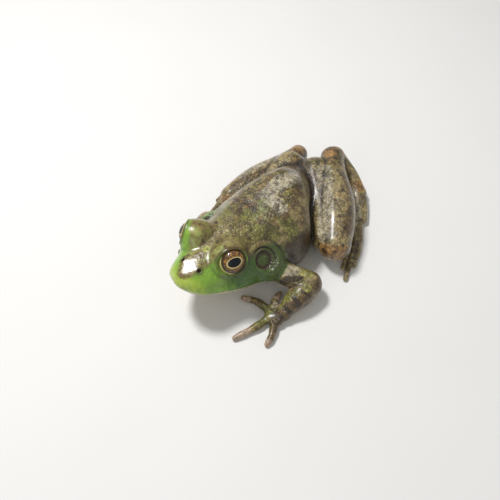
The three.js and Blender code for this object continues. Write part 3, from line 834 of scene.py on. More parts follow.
def skin_masks(points, faces):
    """Each colour's share at each point of the skin, worked out from the tables above."""
    p = points
    q = mirrored(p)
    right = p[:, 0] < 0
    normal = normals_of(points, faces)
    y, z = p[:, 1], p[:, 2]
    lip = mouth_height(q)
    body = smooth_step(1.8, 0.5, body_distance(p))
    on_head = smooth_step(-19, -25, y) * smooth_step(7, 9, z) * body
    jaw = on_jaw(p) * on_head
    above = np.maximum(smooth_step(-0.25, 0.1, lip), 1 - jaw)
    out = q[:, 0] - np.interp(y, GREEN_EDGE["y"], GREEN_EDGE["x"])
    away, past_lid = eye_place(q, right)
    ring, high, behind = drum_place(q)
    on_drum = bell(high, 2.6)
    chin = smooth_step(0.1, -1.4, lip) * jaw
    under = smooth_step(-0.1, -0.65, normal[:, 2]) * smooth_step(17, 9, z)
    rim = bell(lip + 0.85, 0.6) * jaw
    sole = smooth_step(1.3, 0.5, z)
    spot = length((p - BROW_DOT) * (1, 1, 0.3))
    _, _, beside = nearest_on(p, np.array(FOOT_STREAK))
    masks = {
        "face_green": smooth_step(-2.6, 2.6, out) * on_head * above,
        "crown": smooth_step(2.6, -2.6, out) * smooth_step(-22, -34, y) * smooth_step(20, 24, z) * body,
        "smooth": smooth_step(-30, -38, y) * (0.7 + 0.3 * smooth_step(23, 26, z)) * body,
        # yellow-green of the snout's front, and painted light on the right side of the head below the eye
        "yellow_snout_and_painted_right_light": smooth_step(-56, -62, y) * above
        + 0.5 * smooth_step(-1, -6, p[:, 0]) * smooth_step(-34, -46, y) * smooth_step(25, 21, z) * above,
        **{name: stain(p, spots) for name, spots in STAINS.items()},
        "painted_light": stain(q, PAINTED_HIGHLIGHT),
        "pale": np.clip(np.maximum(chin * 0.9, under) + rim + sole, 0, 1),
        "pale_foot_and_sheen": smooth_step(1.9, 0.7, beside),
        "spot": np.maximum(stain(p, SPOTS, 0.3), smooth_step(0.7, 0.25, spot)),
        "brow_ring": smooth_step(1.9, 1.2, spot),
        "drum_ring": bell(ring - DRUM_RADIUS + 1.0, 1.05) * on_drum,
        "drum": smooth_step(DRUM_RADIUS + 0.2, DRUM_RADIUS - 0.8, ring)
        * smooth_step(0.3, 1.1, ring)
        * on_drum,
        "fold_line": bell(ring - DRUM_RADIUS - 1, 0.4) * behind * on_drum,
        # painted shade: darker green on the lower rear cheeks, stronger on the left side
        "cheek_painted_shade": smooth_step(-54, -42, y + 0.5 * (20 - z))
        * smooth_step(28, 24, z)
        * (0.45 + 0.55 * smooth_step(-9, -3, p[:, 0]))
        * on_head,
        # dark olive round the left rear cheek only: partly the skin's olive, partly painted shade
        "rear_cheek": smooth_step(-38, -29, y) * smooth_step(-8, -2, p[:, 0]) * on_head,
        # darker lower flanks: partly the skin's own dark mottling, partly painted shade
        "flank": smooth_step(26, 17, z) * smooth_step(-28, -19, y) * body,
        "lid_edge": bell(past_lid - 5, 7) * smooth_step(2.2, 1.2, away - EYE_RADIUS),
        "mouth": bell(lip - 0.1, 0.38) * jaw,
        "nostril": smooth_step(2.8, 0.7, length(q - NOSTRIL)),
        "leg": smooth_step(-24, -18, y + 0.4 * np.abs(p[:, 0])) * smooth_step(9, 13, np.abs(p[:, 0] - 3)),
        "nape": smooth_step(6.5, 2.5, length(p - NAPE_ARCS)),
        "hollow": np.maximum(*(hollow_of(points, faces, *groove) for groove in GROOVES)),
    }
    return {name: np.clip(share, 0, 1) for name, share in masks.items()}


# ---------------------------- materials

WATER_IOR = 1.38  # how strongly the wet film bends light
CORNEA_IOR = 1.36
SHADE_TINT = (0.16, 0.13, 0.1)  # painted shade: what the skin's colour is multiplied by in the deepest grooves

class Graph:
    """A node tree that is filled from top to bottom, each node linked as it is added."""

    def __init__(self, tree):
        """Starts with an empty tree."""
        self.tree = tree
        tree.nodes.clear()

    def add(self, kind, inputs=None, **settings):
        """A node of a kind, with its settings and its inputs: values, or outputs to link."""
        node = self.tree.nodes.new(kind)
        for name, value in settings.items():
            setattr(node, name, value)
        for name, value in (inputs or {}).items():
            socket = node.inputs[name]
            if isinstance(value, bpy.types.NodeSocket):
                self.tree.links.new(value, socket)
            else:
                socket.default_value = (*value, 1) if socket.type == "RGBA" else value
        return node

    def math(self, operation, a, b=0.0, c=0.0, clamp=False):
        """A sum, product or other operation on two or three values."""
        inputs = {0: a, 1: b, 2: c}
        return self.add("ShaderNodeMath", inputs, operation=operation, use_clamp=clamp).outputs[0]

    def times(self, a, b, clamp=False):
        """The product of two values."""
        return self.math("MULTIPLY", a, b, clamp=clamp)

    def line(self, value, gain, base):
        """value * gain + base."""
        return self.math("MULTIPLY_ADD", value, gain, base)

    def step(self, value, low, high, bottom=0.0, top=1.0):
        """From bottom to top along a smooth step, as the value goes from low to high."""
        inputs = {"Value": value, "From Min": low, "From Max": high, "To Min": bottom, "To Max": top}
        return self.add("ShaderNodeMapRange", inputs, interpolation_type="SMOOTHSTEP").outputs[0]

    def mix(self, share, a, b, blend="MIX"):
        """Colour a turned into colour b by a share."""
        inputs = {0: share, 6: a, 7: b}
        return self.add("ShaderNodeMix", inputs, data_type="RGBA", blend_type=blend).outputs[2]

    def noise(self, position, size, detail, roughness=0.5, distortion=0.0):
        """Soft noise whose lumps are about size across, from 0 to 1 round 0.5."""
        inputs = {"Vector": position, "Scale": 1 / size, "Detail": detail, "Roughness": roughness}
        inputs["Distortion"] = distortion
        return self.add("ShaderNodeTexNoise", inputs).outputs[0]

    def mask(self, name):
        """The mask of that name that the mesh carries."""
        return self.add("ShaderNodeAttribute", attribute_name=name).outputs["Fac"]

    def group(self, tree, inputs):
        """The outputs of a node group, given its inputs."""
        return self.add("ShaderNodeGroup", inputs, node_tree=tree).outputs

    def surface(self, inputs):
        """The material's one shader, with its inputs, linked to the output."""
        shader = self.add("ShaderNodeBsdfPrincipled", inputs)
        output = self.add("ShaderNodeOutputMaterial")
        self.tree.links.new(shader.outputs[0], output.inputs[0])


def new_group(name, inputs, outputs):
    """A node group that takes a position and numbers and gives numbers: its graph and both ends."""
    tree = bpy.data.node_groups.new(name, "ShaderNodeTree")
    graph = Graph(tree)
    tree.interface.new_socket(name="Position", in_out="INPUT", socket_type="NodeSocketVector")
    for socket, value in inputs.items():
        made = tree.interface.new_socket(name=socket, in_out="INPUT", socket_type="NodeSocketFloat")
        made.default_value = value
    for socket in outputs:
        tree.interface.new_socket(name=socket, in_out="OUTPUT", socket_type="NodeSocketFloat")
    return graph, graph.add("NodeGroupInput").outputs, graph.add("NodeGroupOutput").inputs


def granules_group():
    """Rounded grains of two sizes, pushed about by noise: their height, and a shade for each."""
    graph, given, result = new_group("granules", {"Size": 1.0}, ("Height", "Shade"))
    wobble = graph.add("ShaderNodeTexNoise", {"Vector": given["Position"], "Scale": 0.7, "Detail": 1.0})
    inputs = {0: wobble.outputs["Color"], "Scale": 0.9}
    shift = graph.add("ShaderNodeVectorMath", inputs, operation="SCALE").outputs[0]
    place = graph.add("ShaderNodeVectorMath", {0: given["Position"], 1: shift}, operation="ADD").outputs[0]
    per_mm = graph.math("DIVIDE", 1.0, given["Size"])
    large = graph.add("ShaderNodeTexVoronoi", {"Vector": place, "Scale": per_mm})
    finer = graph.times(per_mm, 2.3)
    small = graph.add("ShaderNodeTexVoronoi", {"Vector": place, "Scale": finer})
    dome = graph.step(large.outputs["Distance"], 0.75, 0.05)
    grain = graph.step(small.outputs["Distance"], 0.7, 0.05)
    total = graph.line(grain, 0.4, dome)
    graph.tree.links.new(graph.times(total, 0.714), result["Height"])
    shade = graph.add("ShaderNodeSeparateColor", {0: large.outputs["Color"]}).outputs[0]
    graph.tree.links.new(shade, result["Shade"])
    return graph.tree


def blotches_group():
    """Irregular patches: noise above a level, which sinks as the amount grows, with soft edges."""
    inputs = {"Size": 4.0, "Amount": 0.5, "Softness": 0.04}
    graph, given, result = new_group("blotches", inputs, ("Mask",))
    per_mm = graph.math("DIVIDE", 1.0, given["Size"])
    inputs = {"Vector": given["Position"], "Scale": per_mm, "Detail": 4.0, "Roughness": 0.62}
    value = graph.add("ShaderNodeTexNoise", {**inputs, "Distortion": 0.35}).outputs[0]
    level = graph.line(given["Amount"], -0.4, 0.7)
    low = graph.math("SUBTRACT", level, given["Softness"])
    high = graph.math("ADD", level, given["Softness"])
    graph.tree.links.new(graph.step(value, low, high), result["Mask"])
    return graph.tree


def ragged_group():
    """A soft mask given an uneven edge: noise added to it, then a smooth step round one half."""
    inputs = {"Mask": 0.0, "Size": 1.5, "Raggedness": 0.7}
    graph, given, result = new_group("ragged edge", inputs, ("Mask",))
    per_mm = graph.math("DIVIDE", 1.0, given["Size"])
    inputs = {"Vector": given["Position"], "Scale": per_mm, "Detail": 3.0, "Roughness": 0.6}
    value = graph.math("SUBTRACT", graph.add("ShaderNodeTexNoise", inputs).outputs[0], 0.5)
    pushed = graph.line(value, given["Raggedness"], given["Mask"])
    graph.tree.links.new(graph.step(pushed, 0.2, 0.8), result["Mask"])
    return graph.tree


def new_material(name):
    """An empty material, and the graph that fills it."""
    material = bpy.data.materials.new(name)
    material.use_nodes = True
    return material, Graph(material.node_tree)


def in_millimetres(graph):
    """The object's own coordinates, in the tables' millimetres."""
    place = graph.add("ShaderNodeTexCoord").outputs["Object"]
    return graph.add("ShaderNodeVectorMath", {0: place, "Scale": 1 / MM}, operation="SCALE").outputs[0]


def skin_material(look):
    """Wet, granular skin: an olive back, a green face, brown blotches and a cream belly."""
    material, graph = new_material("skin")
    place = in_millimetres(graph)
    ragged_edge, blotches = ragged_group(), blotches_group()

    def ragged(mask, size, raggedness):
        """A mask of the mesh, with its edge made uneven by noise of a size."""
        inputs = {"Mask": graph.mask(mask), "Position": place, "Size": size, "Raggedness": raggedness}
        return graph.group(ragged_edge, inputs)[0]

    def patches(size, amount, softness):
        """Scattered patches of a size, which cover more as the amount grows."""
        inputs = {"Position": place, "Size": size, "Amount": amount, "Softness": softness}
        return graph.group(blotches, inputs)[0]

    def times(mask, gain):
        """A mask times a gain, held between 0 and 1."""
        return graph.times(mask, gain, clamp=True)

    def dye(colour, share, other):
        """A share of another colour laid over a colour."""
        return graph.mix(share, colour, other)

    def mark(colour, mask, size, raggedness, gain, other):
        """Another colour laid over a colour inside an uneven mask, times a gain."""
        return dye(colour, times(ragged(mask, size, raggedness), gain), other)

    green = ragged("face_green", 2.4, 0.6)
    plain = graph.math("SUBTRACT", 1.0, green)
    leg = graph.mask("leg")
    off_leg = graph.line(leg, -0.7, 1.0)
    rough_skin = graph.line(graph.mask("smooth"), -0.85, 1.0)
    grains = graph.group(granules_group(), {"Position": place, "Size": 1.15})

    colour = graph.mix(patches(7.0, 0.5, 0.1), look.olive, look.brown)
    colour = dye(colour, times(patches(2.4, 0.45, 0.07), times(off_leg, 0.75)), look.moss)
    colour = dye(colour, times(patches(1.9, 0.42, 0.08), 0.25), look.grey)
    colour = dye(colour, times(leg, 0.7), look.shank)
    streaks = graph.line(leg, -0.35, 0.7)
    colour = dye(colour, times(patches(2.0, 0.5, 0.07), streaks), look.umber)
    colour = mark(colour, "warm", 2.0, 0.7, 0.85, look.warm)
    colour = mark(colour, "moss", 1.4, 1.1, 0.7, look.moss)
    colour = mark(colour, "bark", 1.6, 1.1, 0.9, look.bark)
    colour = mark(colour, "yellow", 1.0, 1.0, 0.85, look.yellow)
    # painted sheen: the pale grey broken into painted glints, partly the skin's own grey
    painted_glints = graph.line(patches(1.3, 0.55, 0.12), 0.75, 0.2)
    colour = dye(colour, times(ragged("grey_and_painted_sheen", 1.6, 1.2), painted_glints), look.grey_and_painted_sheen)
    mottle = times(patches(3.6, 0.44, 0.05), graph.line(leg, -0.1, 0.65))
    colour = dye(colour, mottle, look.dark)
    colour = mark(colour, "leg_spot", 0.8, 1.1, 0.8, look.dark)
    # darker lower flanks: partly the skin's own dark mottling, partly painted shade
    colour = mark(colour, "flank", 3.0, 0.9, 0.95, look.umber)
    colour = mark(colour, "patch", 0.9, 0.9, 0.85, look.dark)

    crown = graph.mix(patches(3.4, 0.5, 0.12), look.crown, look.crown_brown)
    crown = dye(crown, times(patches(2.2, 0.4, 0.1), 0.6), look.moss)
    crown = dye(crown, times(patches(1.5, 0.36, 0.06), 0.6), look.umber)
    # painted highlight: pale green in front of the brows, in clouds over the crown's colour
    pale = times(graph.step(graph.noise(place, 2.6, 4.0, 0.6), 0.3, 0.7), 0.75)
    crown = dye(crown, times(graph.mask("painted_light"), pale), look.painted_light)
    colour = graph.mix(graph.mask("crown"), colour, crown)

    clouds = graph.step(graph.noise(place, 3.6, 4.0, 0.6), 0.35, 0.7)
    # painted shade: deep green on the lower rear cheeks, with clouds of it at random over the face
    deeper = graph.math("MULTIPLY_ADD", graph.mask("cheek_painted_shade"), 0.85, times(clouds, 0.45), clamp=True)
    leaf = graph.mix(deeper, look.green, look.deep_and_shaded_green)
    # dark olive on the left rear cheek: partly painted shade
    leaf = mark(leaf, "rear_cheek", 2.0, 0.7, 0.75, look.rear_cheek)
    # the snout's yellow-green, and painted light on the right side below the eye
    lip = times(graph.mask("yellow_snout_and_painted_right_light"), graph.line(clouds, -0.5, 0.95))
    leaf = dye(leaf, lip, look.lip_yellow)
    colour = graph.mix(green, colour, leaf)
    colour = mark(colour, "brow_ring", 0.8, 0.5, 0.5, look.lip_yellow)
    colour = mark(colour, "spot", 0.7, 1.3, 0.7, look.umber)

    cream = graph.mix(times(patches(2.6, 0.4, 0.08), 0.35), look.cream, look.grey)
    colour = graph.mix(ragged("pale", 1.2, 0.5), colour, cream)
    # the foot's pale side, partly painted sheen
    colour = mark(colour, "pale_foot_and_sheen", 0.9, 0.6, 0.8, look.cream)
    colour = mark(colour, "rose", 1.4, 0.7, 0.85, look.rose)

    colour = dye(colour, times(graph.mask("drum"), 0.6), look.rear_cheek)
    colour = mark(colour, "drum_ring", 0.8, 0.9, 0.9, look.umber)
    colour = mark(colour, "fold_line", 0.8, 0.5, 0.75, look.umber)
    colour = mark(colour, "nostril", 0.8, 0.9, 0.6, look.umber)
    colour = dye(colour, times(graph.mask("lid_edge"), 0.8), look.umber)
    colour = dye(colour, times(graph.mask("mouth"), 0.8), look.dark)

    # painted shade between the granules and painted light on their tops, times a random tone for each
    # granule
    grained = graph.line(grains["Height"], 0.6, 0.65)
    uneven = graph.line(grains["Shade"], 0.4, 0.8)
    shading = graph.times(grained, uneven)
    depth = graph.times(graph.line(plain, 0.3, 0.7), rough_skin)
    softened = graph.line(graph.math("SUBTRACT", shading, 1.0), depth, 1.0)
    grey_scale = graph.add("ShaderNodeCombineColor", {0: softened, 1: softened, 2: softened}).outputs[0]
    colour = graph.mix(1.0, colour, grey_scale, "MULTIPLY")
    # painted shade in the skin's grooves and hollows
    shaded = graph.mix(1.0, colour, SHADE_TINT, "MULTIPLY")
    colour = graph.mix(times(graph.mask("hollow"), 0.9), colour, shaded)

    away = graph.add("ShaderNodeVectorMath", {0: place, 1: NAPE}, operation="DISTANCE").outputs["Value"]
    bent = graph.line(graph.noise(place, 3.0, 2.0), 2.4, away)
    ridges = graph.math("SINE", graph.times(bent, 7.0))
    ridges = graph.times(ridges, graph.mask("nape"))
    film = graph.noise(place, 5.0, 3.0)
    roughness = graph.step(film, 0.35, 0.65, 0.5 - 0.24 * look.wetness, 0.62 - 0.24 * look.wetness)
    roughness = graph.line(graph.mask("smooth"), -0.1, roughness)
    wrinkles = graph.noise(place, 2.4, 4.0, 0.6)
    height = graph.line(wrinkles, 1.5, grains["Height"])
    height = graph.times(height, rough_skin)
    height = graph.line(ridges, 0.35, height)
    bump = graph.add("ShaderNodeBump", {"Height": height, "Strength": 1.0, "Distance": look.grain_height})
    wet = graph.step(film, 0.3, 0.7, 0.9 * look.wetness, 0.4 * look.wetness)
    inputs = {"Base Color": colour, "Roughness": roughness, "Normal": bump.outputs[0], "Coat Weight": wet}
    graph.surface({**inputs, "Coat Roughness": 0.2, "Coat IOR": WATER_IOR})
    return material


def eye_material(look):
    """A copper iris with dark branching lines, and a black oval pupil with a gold edge."""
    material, graph = new_material("eye")
    fibre = graph.add("ShaderNodeAttribute", attribute_name="round").outputs["Vector"]
    pupil, iris, lift = graph.mask("pupil"), graph.mask("iris"), graph.mask("lift")
    branching = graph.noise(fibre, 0.16, 5.0, 0.7, 0.8)
    network = graph.step(branching, 0.44, 0.64)
    colour = graph.mix(network, look.iris_dark, look.iris)
    speckle = graph.step(graph.noise(fibre, 0.07, 3.0, 0.7), 0.56, 0.7)
    lower = graph.step(lift, 0.35, -0.5)
    golden = graph.times(speckle, graph.line(lower, 0.35, 0.5))
    colour = graph.mix(golden, colour, look.gold)
    # painted shade: the upper iris darkened towards grey, broken up by its network
    shade = graph.step(graph.line(branching, 0.6, lift), 0.25, 0.95)
    colour = graph.mix(graph.times(shade, 0.3), colour, look.iris_painted_shade)
    low = graph.times(lift, -1.0)
    brown = graph.step(graph.line(branching, 0.6, low), 0.5, 1.2)
    colour = graph.mix(graph.times(brown, 0.6), colour, look.iris_dark)
    near_rim = graph.step(graph.line(branching, 0.2, iris), 0.84, 1.04)
    colour = graph.mix(near_rim, colour, look.iris_dark)
    white = graph.times(graph.step(iris, 1.02, 1.08), graph.mask("front"))
    colour = graph.mix(white, colour, look.eye_white)
    ring_end = graph.line(lift, -0.2, 1.2)
    ring = graph.step(pupil, graph.math("ADD", ring_end, 0.06), ring_end)
    ring = graph.times(ring, graph.step(pupil, 0.97, 1.03))
    colour = graph.mix(ring, colour, look.pupil_ring)
    colour = graph.mix(graph.step(pupil, 1.04, 0.97), colour, look.pupil)
    bump = graph.add("ShaderNodeBump", {"Height": branching, "Strength": 0.15, "Distance": 0.0002})
    roughness = graph.step(network, 0.0, 1.0, 0.35, 0.5)
    inputs = {"Base Color": colour, "Roughness": roughness, "Normal": bump.outputs[0], "Coat Weight": 1.0}
    graph.surface({**inputs, "Specular IOR Level": 0.1, "Coat Roughness": 0.03, "Coat IOR": CORNEA_IOR})
    return material


def floor_material(look):
    """Plain pale matt floor with the faintest clouding."""
    material, graph = new_material("floor")
    cloud = graph.noise(in_millimetres(graph), 60.0, 3.0)
    darker = tuple(0.96 * level for level in look.floor_colour)
    colour = graph.mix(cloud, look.floor_colour, darker)
    graph.surface({"Base Color": colour, "Roughness": 0.7})
    return material


# ---------------------------- objects

# Each lamp's place and size, and the place they look at, in metres.
KEY_LAMP = ((-0.26, -0.04, 0.6), 0.12)
FILL_LAMP = ((0.1, -0.7, 0.4), 0.5)
LAMP_TARGET = (0, -0.01, 0.01)
# The camera's degrees round from the front and above the floor, and its distance and target
# in the tables' millimetres.
CAMERA_TURN = 38.3
CAMERA_RISE = 55
CAMERA_AWAY = 243
CAMERA_TARGET = (1.8, -20, 0)
EYE_RINGS = 97
EYE_SIDES = 128
CORNEA_SWELL = 0.02  # how much the eye's clear front swells, as a share of its radius


def new_object(name, points, faces, material):
    """A smooth mesh object at the origin, from points in the tables' millimetres."""
    mesh = bpy.data.meshes.new(name)
    mesh.from_pydata((np.asarray(points) * MM).tolist(), [], np.asarray(faces).tolist())
    mesh.polygons.foreach_set("use_smooth", np.ones(len(mesh.polygons), bool))
    mesh.materials.append(material)
    mesh.update()
    made = bpy.data.objects.new(name, mesh)
    bpy.context.scene.collection.objects.link(made)
    return made


def set_mask(made, name, values):
    """A float, or a vector, on each point of the object, which its material reads by name."""
    values = np.asarray(values, np.float32)
    kind = "FLOAT" if values.ndim == 1 else "FLOAT_VECTOR"
    layer = made.data.attributes.new(name, kind, "POINT")
    layer.data.foreach_set("value" if values.ndim == 1 else "vector", values.ravel())


def build_skin(look):
    """The whole skin as one closed piece, which replaces every node of flesh."""
    points, faces = skin_mesh(look.grid_step)
    skin = new_object("skin", points, faces, skin_material(look))
    for name, share in skin_masks(points, faces).items():
        set_mask(skin, name, share)
    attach(skin, "root")
    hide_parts(*FLESH)


def eyeball(sign):
    """The points, faces and masks of an eye: a ball with rings round its gaze.

    A point at angle a from the gaze and turn t round it lies at radius times
    (cos a, sin a cos t, sin a sin t) along the axes ahead, to the rear and up, and the
    clear front swells by a little.
    """
    ahead, rear, up = facing_frame(GAZE[sign < 0])
    tilt = math.radians(PUPIL_TILT)
    rear, up = rear * math.cos(tilt) + up * math.sin(tilt), up * math.cos(tilt) - rear * math.sin(tilt)
    angle = np.linspace(0, np.pi, EYE_RINGS)[1:-1]
    turn = np.linspace(0, 2 * np.pi, EYE_SIDES, endpoint=False)
    a, t = (g.ravel() for g in np.meshgrid(angle, turn, indexing="ij"))
    a, t = np.append(a, [0, np.pi]), np.append(t, [0, 0])
    local = np.stack([np.cos(a), np.sin(a) * np.cos(t), np.sin(a) * np.sin(t)], axis=1)
    radius = EYE_RADIUS * (1 + CORNEA_SWELL * bell(a, 0.75) - CORNEA_SWELL)
    centre = EYE_CENTRE - (RIGHT_EYE_IN * (sign < 0), 0, 0)
    points = centre + radius[:, None] * (local @ np.array([ahead, rear, up]))
    points[:, 0] *= sign
    ring = np.arange(len(a) - 2).reshape(len(angle), -1)
    following = np.roll(ring, -1, axis=1)
    sides = np.stack([ring[:-1], ring[1:], following[1:], following[:-1]], axis=-1).reshape(-1, 4)
    front = np.stack([0 * ring[0] + len(a) - 2, ring[0], following[0]], axis=1)
    back = np.stack([0 * ring[-1] + len(a) - 1, following[-1], ring[-1]], axis=1)
    faces = np.vstack([sides[:, :3], sides[:, [0, 2, 3]], front, back])[:, ::sign]
    degrees = np.degrees(a)
    along, tall = degrees * np.cos(t), degrees * np.sin(t)
    masks = {
        "pupil": np.hypot(along / PUPIL[0], tall / PUPIL[1]),
        "iris": np.hypot((along - 2.5) / IRIS[0], tall / IRIS[1]),
        "lift": tall / IRIS[1] - 0.25 * along / IRIS[0],
        "front": smooth_step(-0.35, -0.75, np.cos(t - 0.25)),
        "round": np.stack([np.cos(t), np.sin(t), 0.9 * degrees / IRIS[0]], axis=1),
    }
    return points, faces, masks


def build_eyes(look):
    """Both eyes, each a glossy ball of its own between its lids."""
    material = eye_material(look)
    for node, name, sign in (("eye_left", "eyeball_left", 1), ("eye_right", "eyeball_right", -1)):
        points, faces, masks = eyeball(sign)
        eye = new_object(name, points, faces, material)
        for mask, values in masks.items():
            set_mask(eye, mask, values)
        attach(eye, "root")
        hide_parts(node)


def aim(made, place, target):
    """Puts a lamp or camera at a place, in metres, and turns it to look at the target."""
    made.location = place
    made.rotation_mode = "QUATERNION"
    made.rotation_quaternion = (Vector(target) - Vector(place)).to_track_quat("-Z", "Y")
    bpy.context.scene.collection.objects.link(made)


def add_lamp(name, place, size, watts):
    """A square soft lamp at a place, which looks at the frog."""
    lamp = bpy.data.lights.new(name, "AREA")
    lamp.size = size
    lamp.energy = watts
    aim(bpy.data.objects.new(name, lamp), place, LAMP_TARGET)


def build_stage(look):
    """The floor, the soft light round the model, two lamps and the camera."""
    half = look.floor_size / 2
    corners = np.array([(-half, -half, 0), (half, -half, 0), (half, half, 0), (-half, half, 0)])
    new_object("floor", corners / MM, [(0, 1, 2, 3)], floor_material(look))
    world = bpy.data.worlds.new("studio")
    world.use_nodes = True
    sky = world.node_tree.nodes["Background"].inputs
    sky["Color"].default_value = (1, 1, 1, 1)
    sky["Strength"].default_value = look.sky_strength
    bpy.context.scene.world = world
    add_lamp("key", *KEY_LAMP, look.key_watts)
    add_lamp("fill", *FILL_LAMP, look.fill_watts)
    data = bpy.data.cameras.new("camera")
    data.lens = look.lens
    data.sensor_width = 36
    data.clip_start = 0.005
    turn, rise = math.radians(CAMERA_TURN), math.radians(CAMERA_RISE)
    back = np.array((math.sin(turn) * math.cos(rise), -math.cos(turn) * math.cos(rise), math.sin(rise)))
    target = np.array(CAMERA_TARGET) * MM
    camera = bpy.data.objects.new("camera", data)
    aim(camera, target + back * CAMERA_AWAY * MM, target)
    bpy.context.scene.camera = camera
    bpy.context.scene.view_settings.view_transform = "Standard"


# ---------------------------- the add-on


def tint(name, description, default):
    """A colour that can be set in the sidebar."""
    return bpy.props.FloatVectorProperty(
        name=name, description=description, default=default, size=3, min=0, max=1, subtype="COLOR"
    )


def number(name, description, default, low, high, **kind):
    """A number from low to high that can be set in the sidebar, of a subtype and unit if given."""
    return bpy.props.FloatProperty(
        name=name, description=description, default=default, min=low, max=high, **kind
    )


def metres(*settings, **kind):
    """A length that can be set in the sidebar."""
    return number(*settings, unit="LENGTH", subtype="DISTANCE", **kind)


class BullfrogSkinSettings(bpy.types.PropertyGroup):
    """Mesh size, wetness and colours of the skin."""

    grid_step: number("Grid step", "Cell size of the skin's first mesh, in millimetres", 0.8, 0.5, 3)
    wetness: number("Wetness", "How glossy the film of water is", 0.9, 0, 1, subtype="FACTOR")
    grain_height: metres("Grain height", "Height of the skin's granules", 0.0003, 0, 0.001, precision=5)
    green: tint("Green", "Bright green of the face", (0.24, 0.43, 0.045))
    # deep green: painted shade on the lower rear cheeks, and random clouds
    deep_and_shaded_green: tint("Deep green", "Green of the cheeks", (0.06, 0.145, 0.018))
    rear_cheek: tint("Rear cheek", "Dark olive round the eardrum", (0.075, 0.1, 0.02))
    lip_yellow: tint("Lip", "Yellow-green of the snout's front", (0.42, 0.52, 0.06))
    crown: tint("Crown", "Olive of the top of the head", (0.3, 0.25, 0.08))
    crown_brown: tint("Crown brown", "Brown of the forehead and the lids", (0.2, 0.135, 0.05))
    olive: tint("Olive", "Ground colour of the back", (0.32, 0.235, 0.055))
    moss: tint("Moss", "Green flecks of the back", (0.19, 0.2, 0.03))
    brown: tint("Brown", "Brown areas of the back", (0.26, 0.135, 0.035))
    umber: tint("Umber", "Small dark streaks", (0.06, 0.036, 0.012))
    dark: tint("Dark", "Blotches and spots", (0.028, 0.018, 0.008))
    shank: tint("Legs", "Tan ground colour of the hind legs", (0.42, 0.33, 0.15))
    warm: tint("Knees", "Orange-brown of knees and heels", (0.4, 0.21, 0.06))
    yellow: tint("Elbows", "Yellow-green patches of the elbows", (0.4, 0.37, 0.09))
    grey: tint("Grey", "Grey-brown of rump, arms and hands", (0.38, 0.32, 0.2))
    cream: tint("Cream", "Belly, throat and lower lip", (0.62, 0.56, 0.36))
    # painted highlight in front of the brows
    painted_light: tint("Bloom", "Pale green between the eyes and the nostrils", (0.36, 0.44, 0.13))
    # partly the skin's own grey, partly painted wet sheen
    grey_and_painted_sheen: tint("Silver", "Pale grey of the back and the legs' upper edges", (0.52, 0.46, 0.33))
    bark: tint("Bark", "Brown of forearms, fingers and thighs", (0.15, 0.09, 0.03))
    rose: tint("Rose", "Finger tips", (0.50, 0.36, 0.25))


class BullfrogEyeSettings(bpy.types.PropertyGroup):
    """Colours of the eyes."""

    iris: tint("Iris", "Copper of the iris", (0.58, 0.27, 0.045))
    iris_dark: tint("Iris lines", "Dark network and rim of the iris", (0.035, 0.018, 0.008))
    # painted shade on the upper iris
    iris_painted_shade: tint("Iris top", "Grey bloom on the upper iris", (0.075, 0.055, 0.05))
    gold: tint("Gold", "Specks in the iris", (0.55, 0.38, 0.1))
    pupil_ring: tint("Pupil edge", "Gold edge of the pupil", (0.62, 0.50, 0.22))
    pupil: tint("Pupil", "Black of the pupil", (0.004, 0.005, 0.008))
    eye_white: tint("Front corner", "Cream crescent in front of the iris", (0.6, 0.55, 0.22))


class BullfrogStageSettings(bpy.types.PropertyGroup):
    """Floor, light and camera."""

    floor_size: metres("Floor size", "Side of the square floor", 8, 0.5, 100)
    floor_colour: tint("Floor", "Colour of the floor", (0.8, 0.79, 0.77))
    sky_strength: number("Sky", "Strength of the soft light from all round", 0.4, 0, 2)
    key_watts: number("Key lamp", "Power of the lamp on the frog's right, in watts", 3.5, 0, 20)
    fill_watts: number("Fill lamp", "Power of the lamp before the frog's head, in watts", 0.5, 0, 20)
    lens: number("Lens", "Focal length in millimetres", 38, 10, 200)


class BULLFROG_OT_skin(bpy.types.Operator):
    """Build the frog's skin as one closed mesh"""

    bl_idname = "bullfrog.skin"
    bl_label = "Build Skin"

    def execute(self, context):
        build_skin(context.scene.bullfrog_skin)
        return {"FINISHED"}


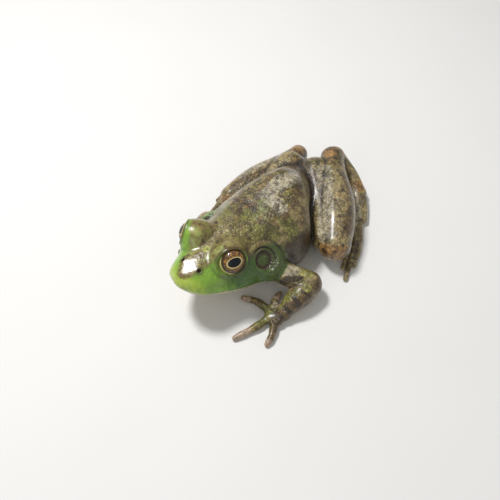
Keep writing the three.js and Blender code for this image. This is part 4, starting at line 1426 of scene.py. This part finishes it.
class BULLFROG_OT_eyes(bpy.types.Operator):
    """Build both eyes"""

    bl_idname = "bullfrog.eyes"
    bl_label = "Build Eyes"

    def execute(self, context):
        build_eyes(context.scene.bullfrog_eyes)
        return {"FINISHED"}


class BULLFROG_OT_stage(bpy.types.Operator):
    """Build the floor, the lamps and the camera"""

    bl_idname = "bullfrog.stage"
    bl_label = "Build Stage"

    def execute(self, context):
        build_stage(context.scene.bullfrog_stage)
        return {"FINISHED"}


class BULLFROG_PT_sidebar(bpy.types.Panel):
    """Settings and buttons of the bullfrog."""

    bl_label = "Bullfrog"
    bl_idname = "BULLFROG_PT_sidebar"
    bl_space_type = "VIEW_3D"
    bl_region_type = "UI"
    bl_category = "Bullfrog"

    def draw(self, context):
        """Lists each part's settings over its button."""
        for part in ("skin", "eyes", "stage"):
            box = self.layout.box()
            settings = getattr(context.scene, "bullfrog_" + part)
            for name in settings.__annotations__:
                box.prop(settings, name)
            box.operator("bullfrog." + part)


CLASSES = (
    BullfrogSkinSettings,
    BullfrogEyeSettings,
    BullfrogStageSettings,
    BULLFROG_OT_skin,
    BULLFROG_OT_eyes,
    BULLFROG_OT_stage,
    BULLFROG_PT_sidebar,
)


def register():
    """Adds the classes to Blender, and their settings to every scene."""
    for made in CLASSES:
        bpy.utils.register_class(made)
    bpy.types.Scene.bullfrog_skin = bpy.props.PointerProperty(type=BullfrogSkinSettings)
    bpy.types.Scene.bullfrog_eyes = bpy.props.PointerProperty(type=BullfrogEyeSettings)
    bpy.types.Scene.bullfrog_stage = bpy.props.PointerProperty(type=BullfrogStageSettings)


def unregister():
    """Takes out what register adds."""
    del bpy.types.Scene.bullfrog_stage
    del bpy.types.Scene.bullfrog_eyes
    del bpy.types.Scene.bullfrog_skin
    for made in reversed(CLASSES):
        bpy.utils.unregister_class(made)


def main():
    """Makes every piece in order."""
    register()
    bpy.ops.bullfrog.skin()
    bpy.ops.bullfrog.eyes()
    bpy.ops.bullfrog.stage()
    bpy.context.view_layer.update()


if __name__ == "__main__":
    main()
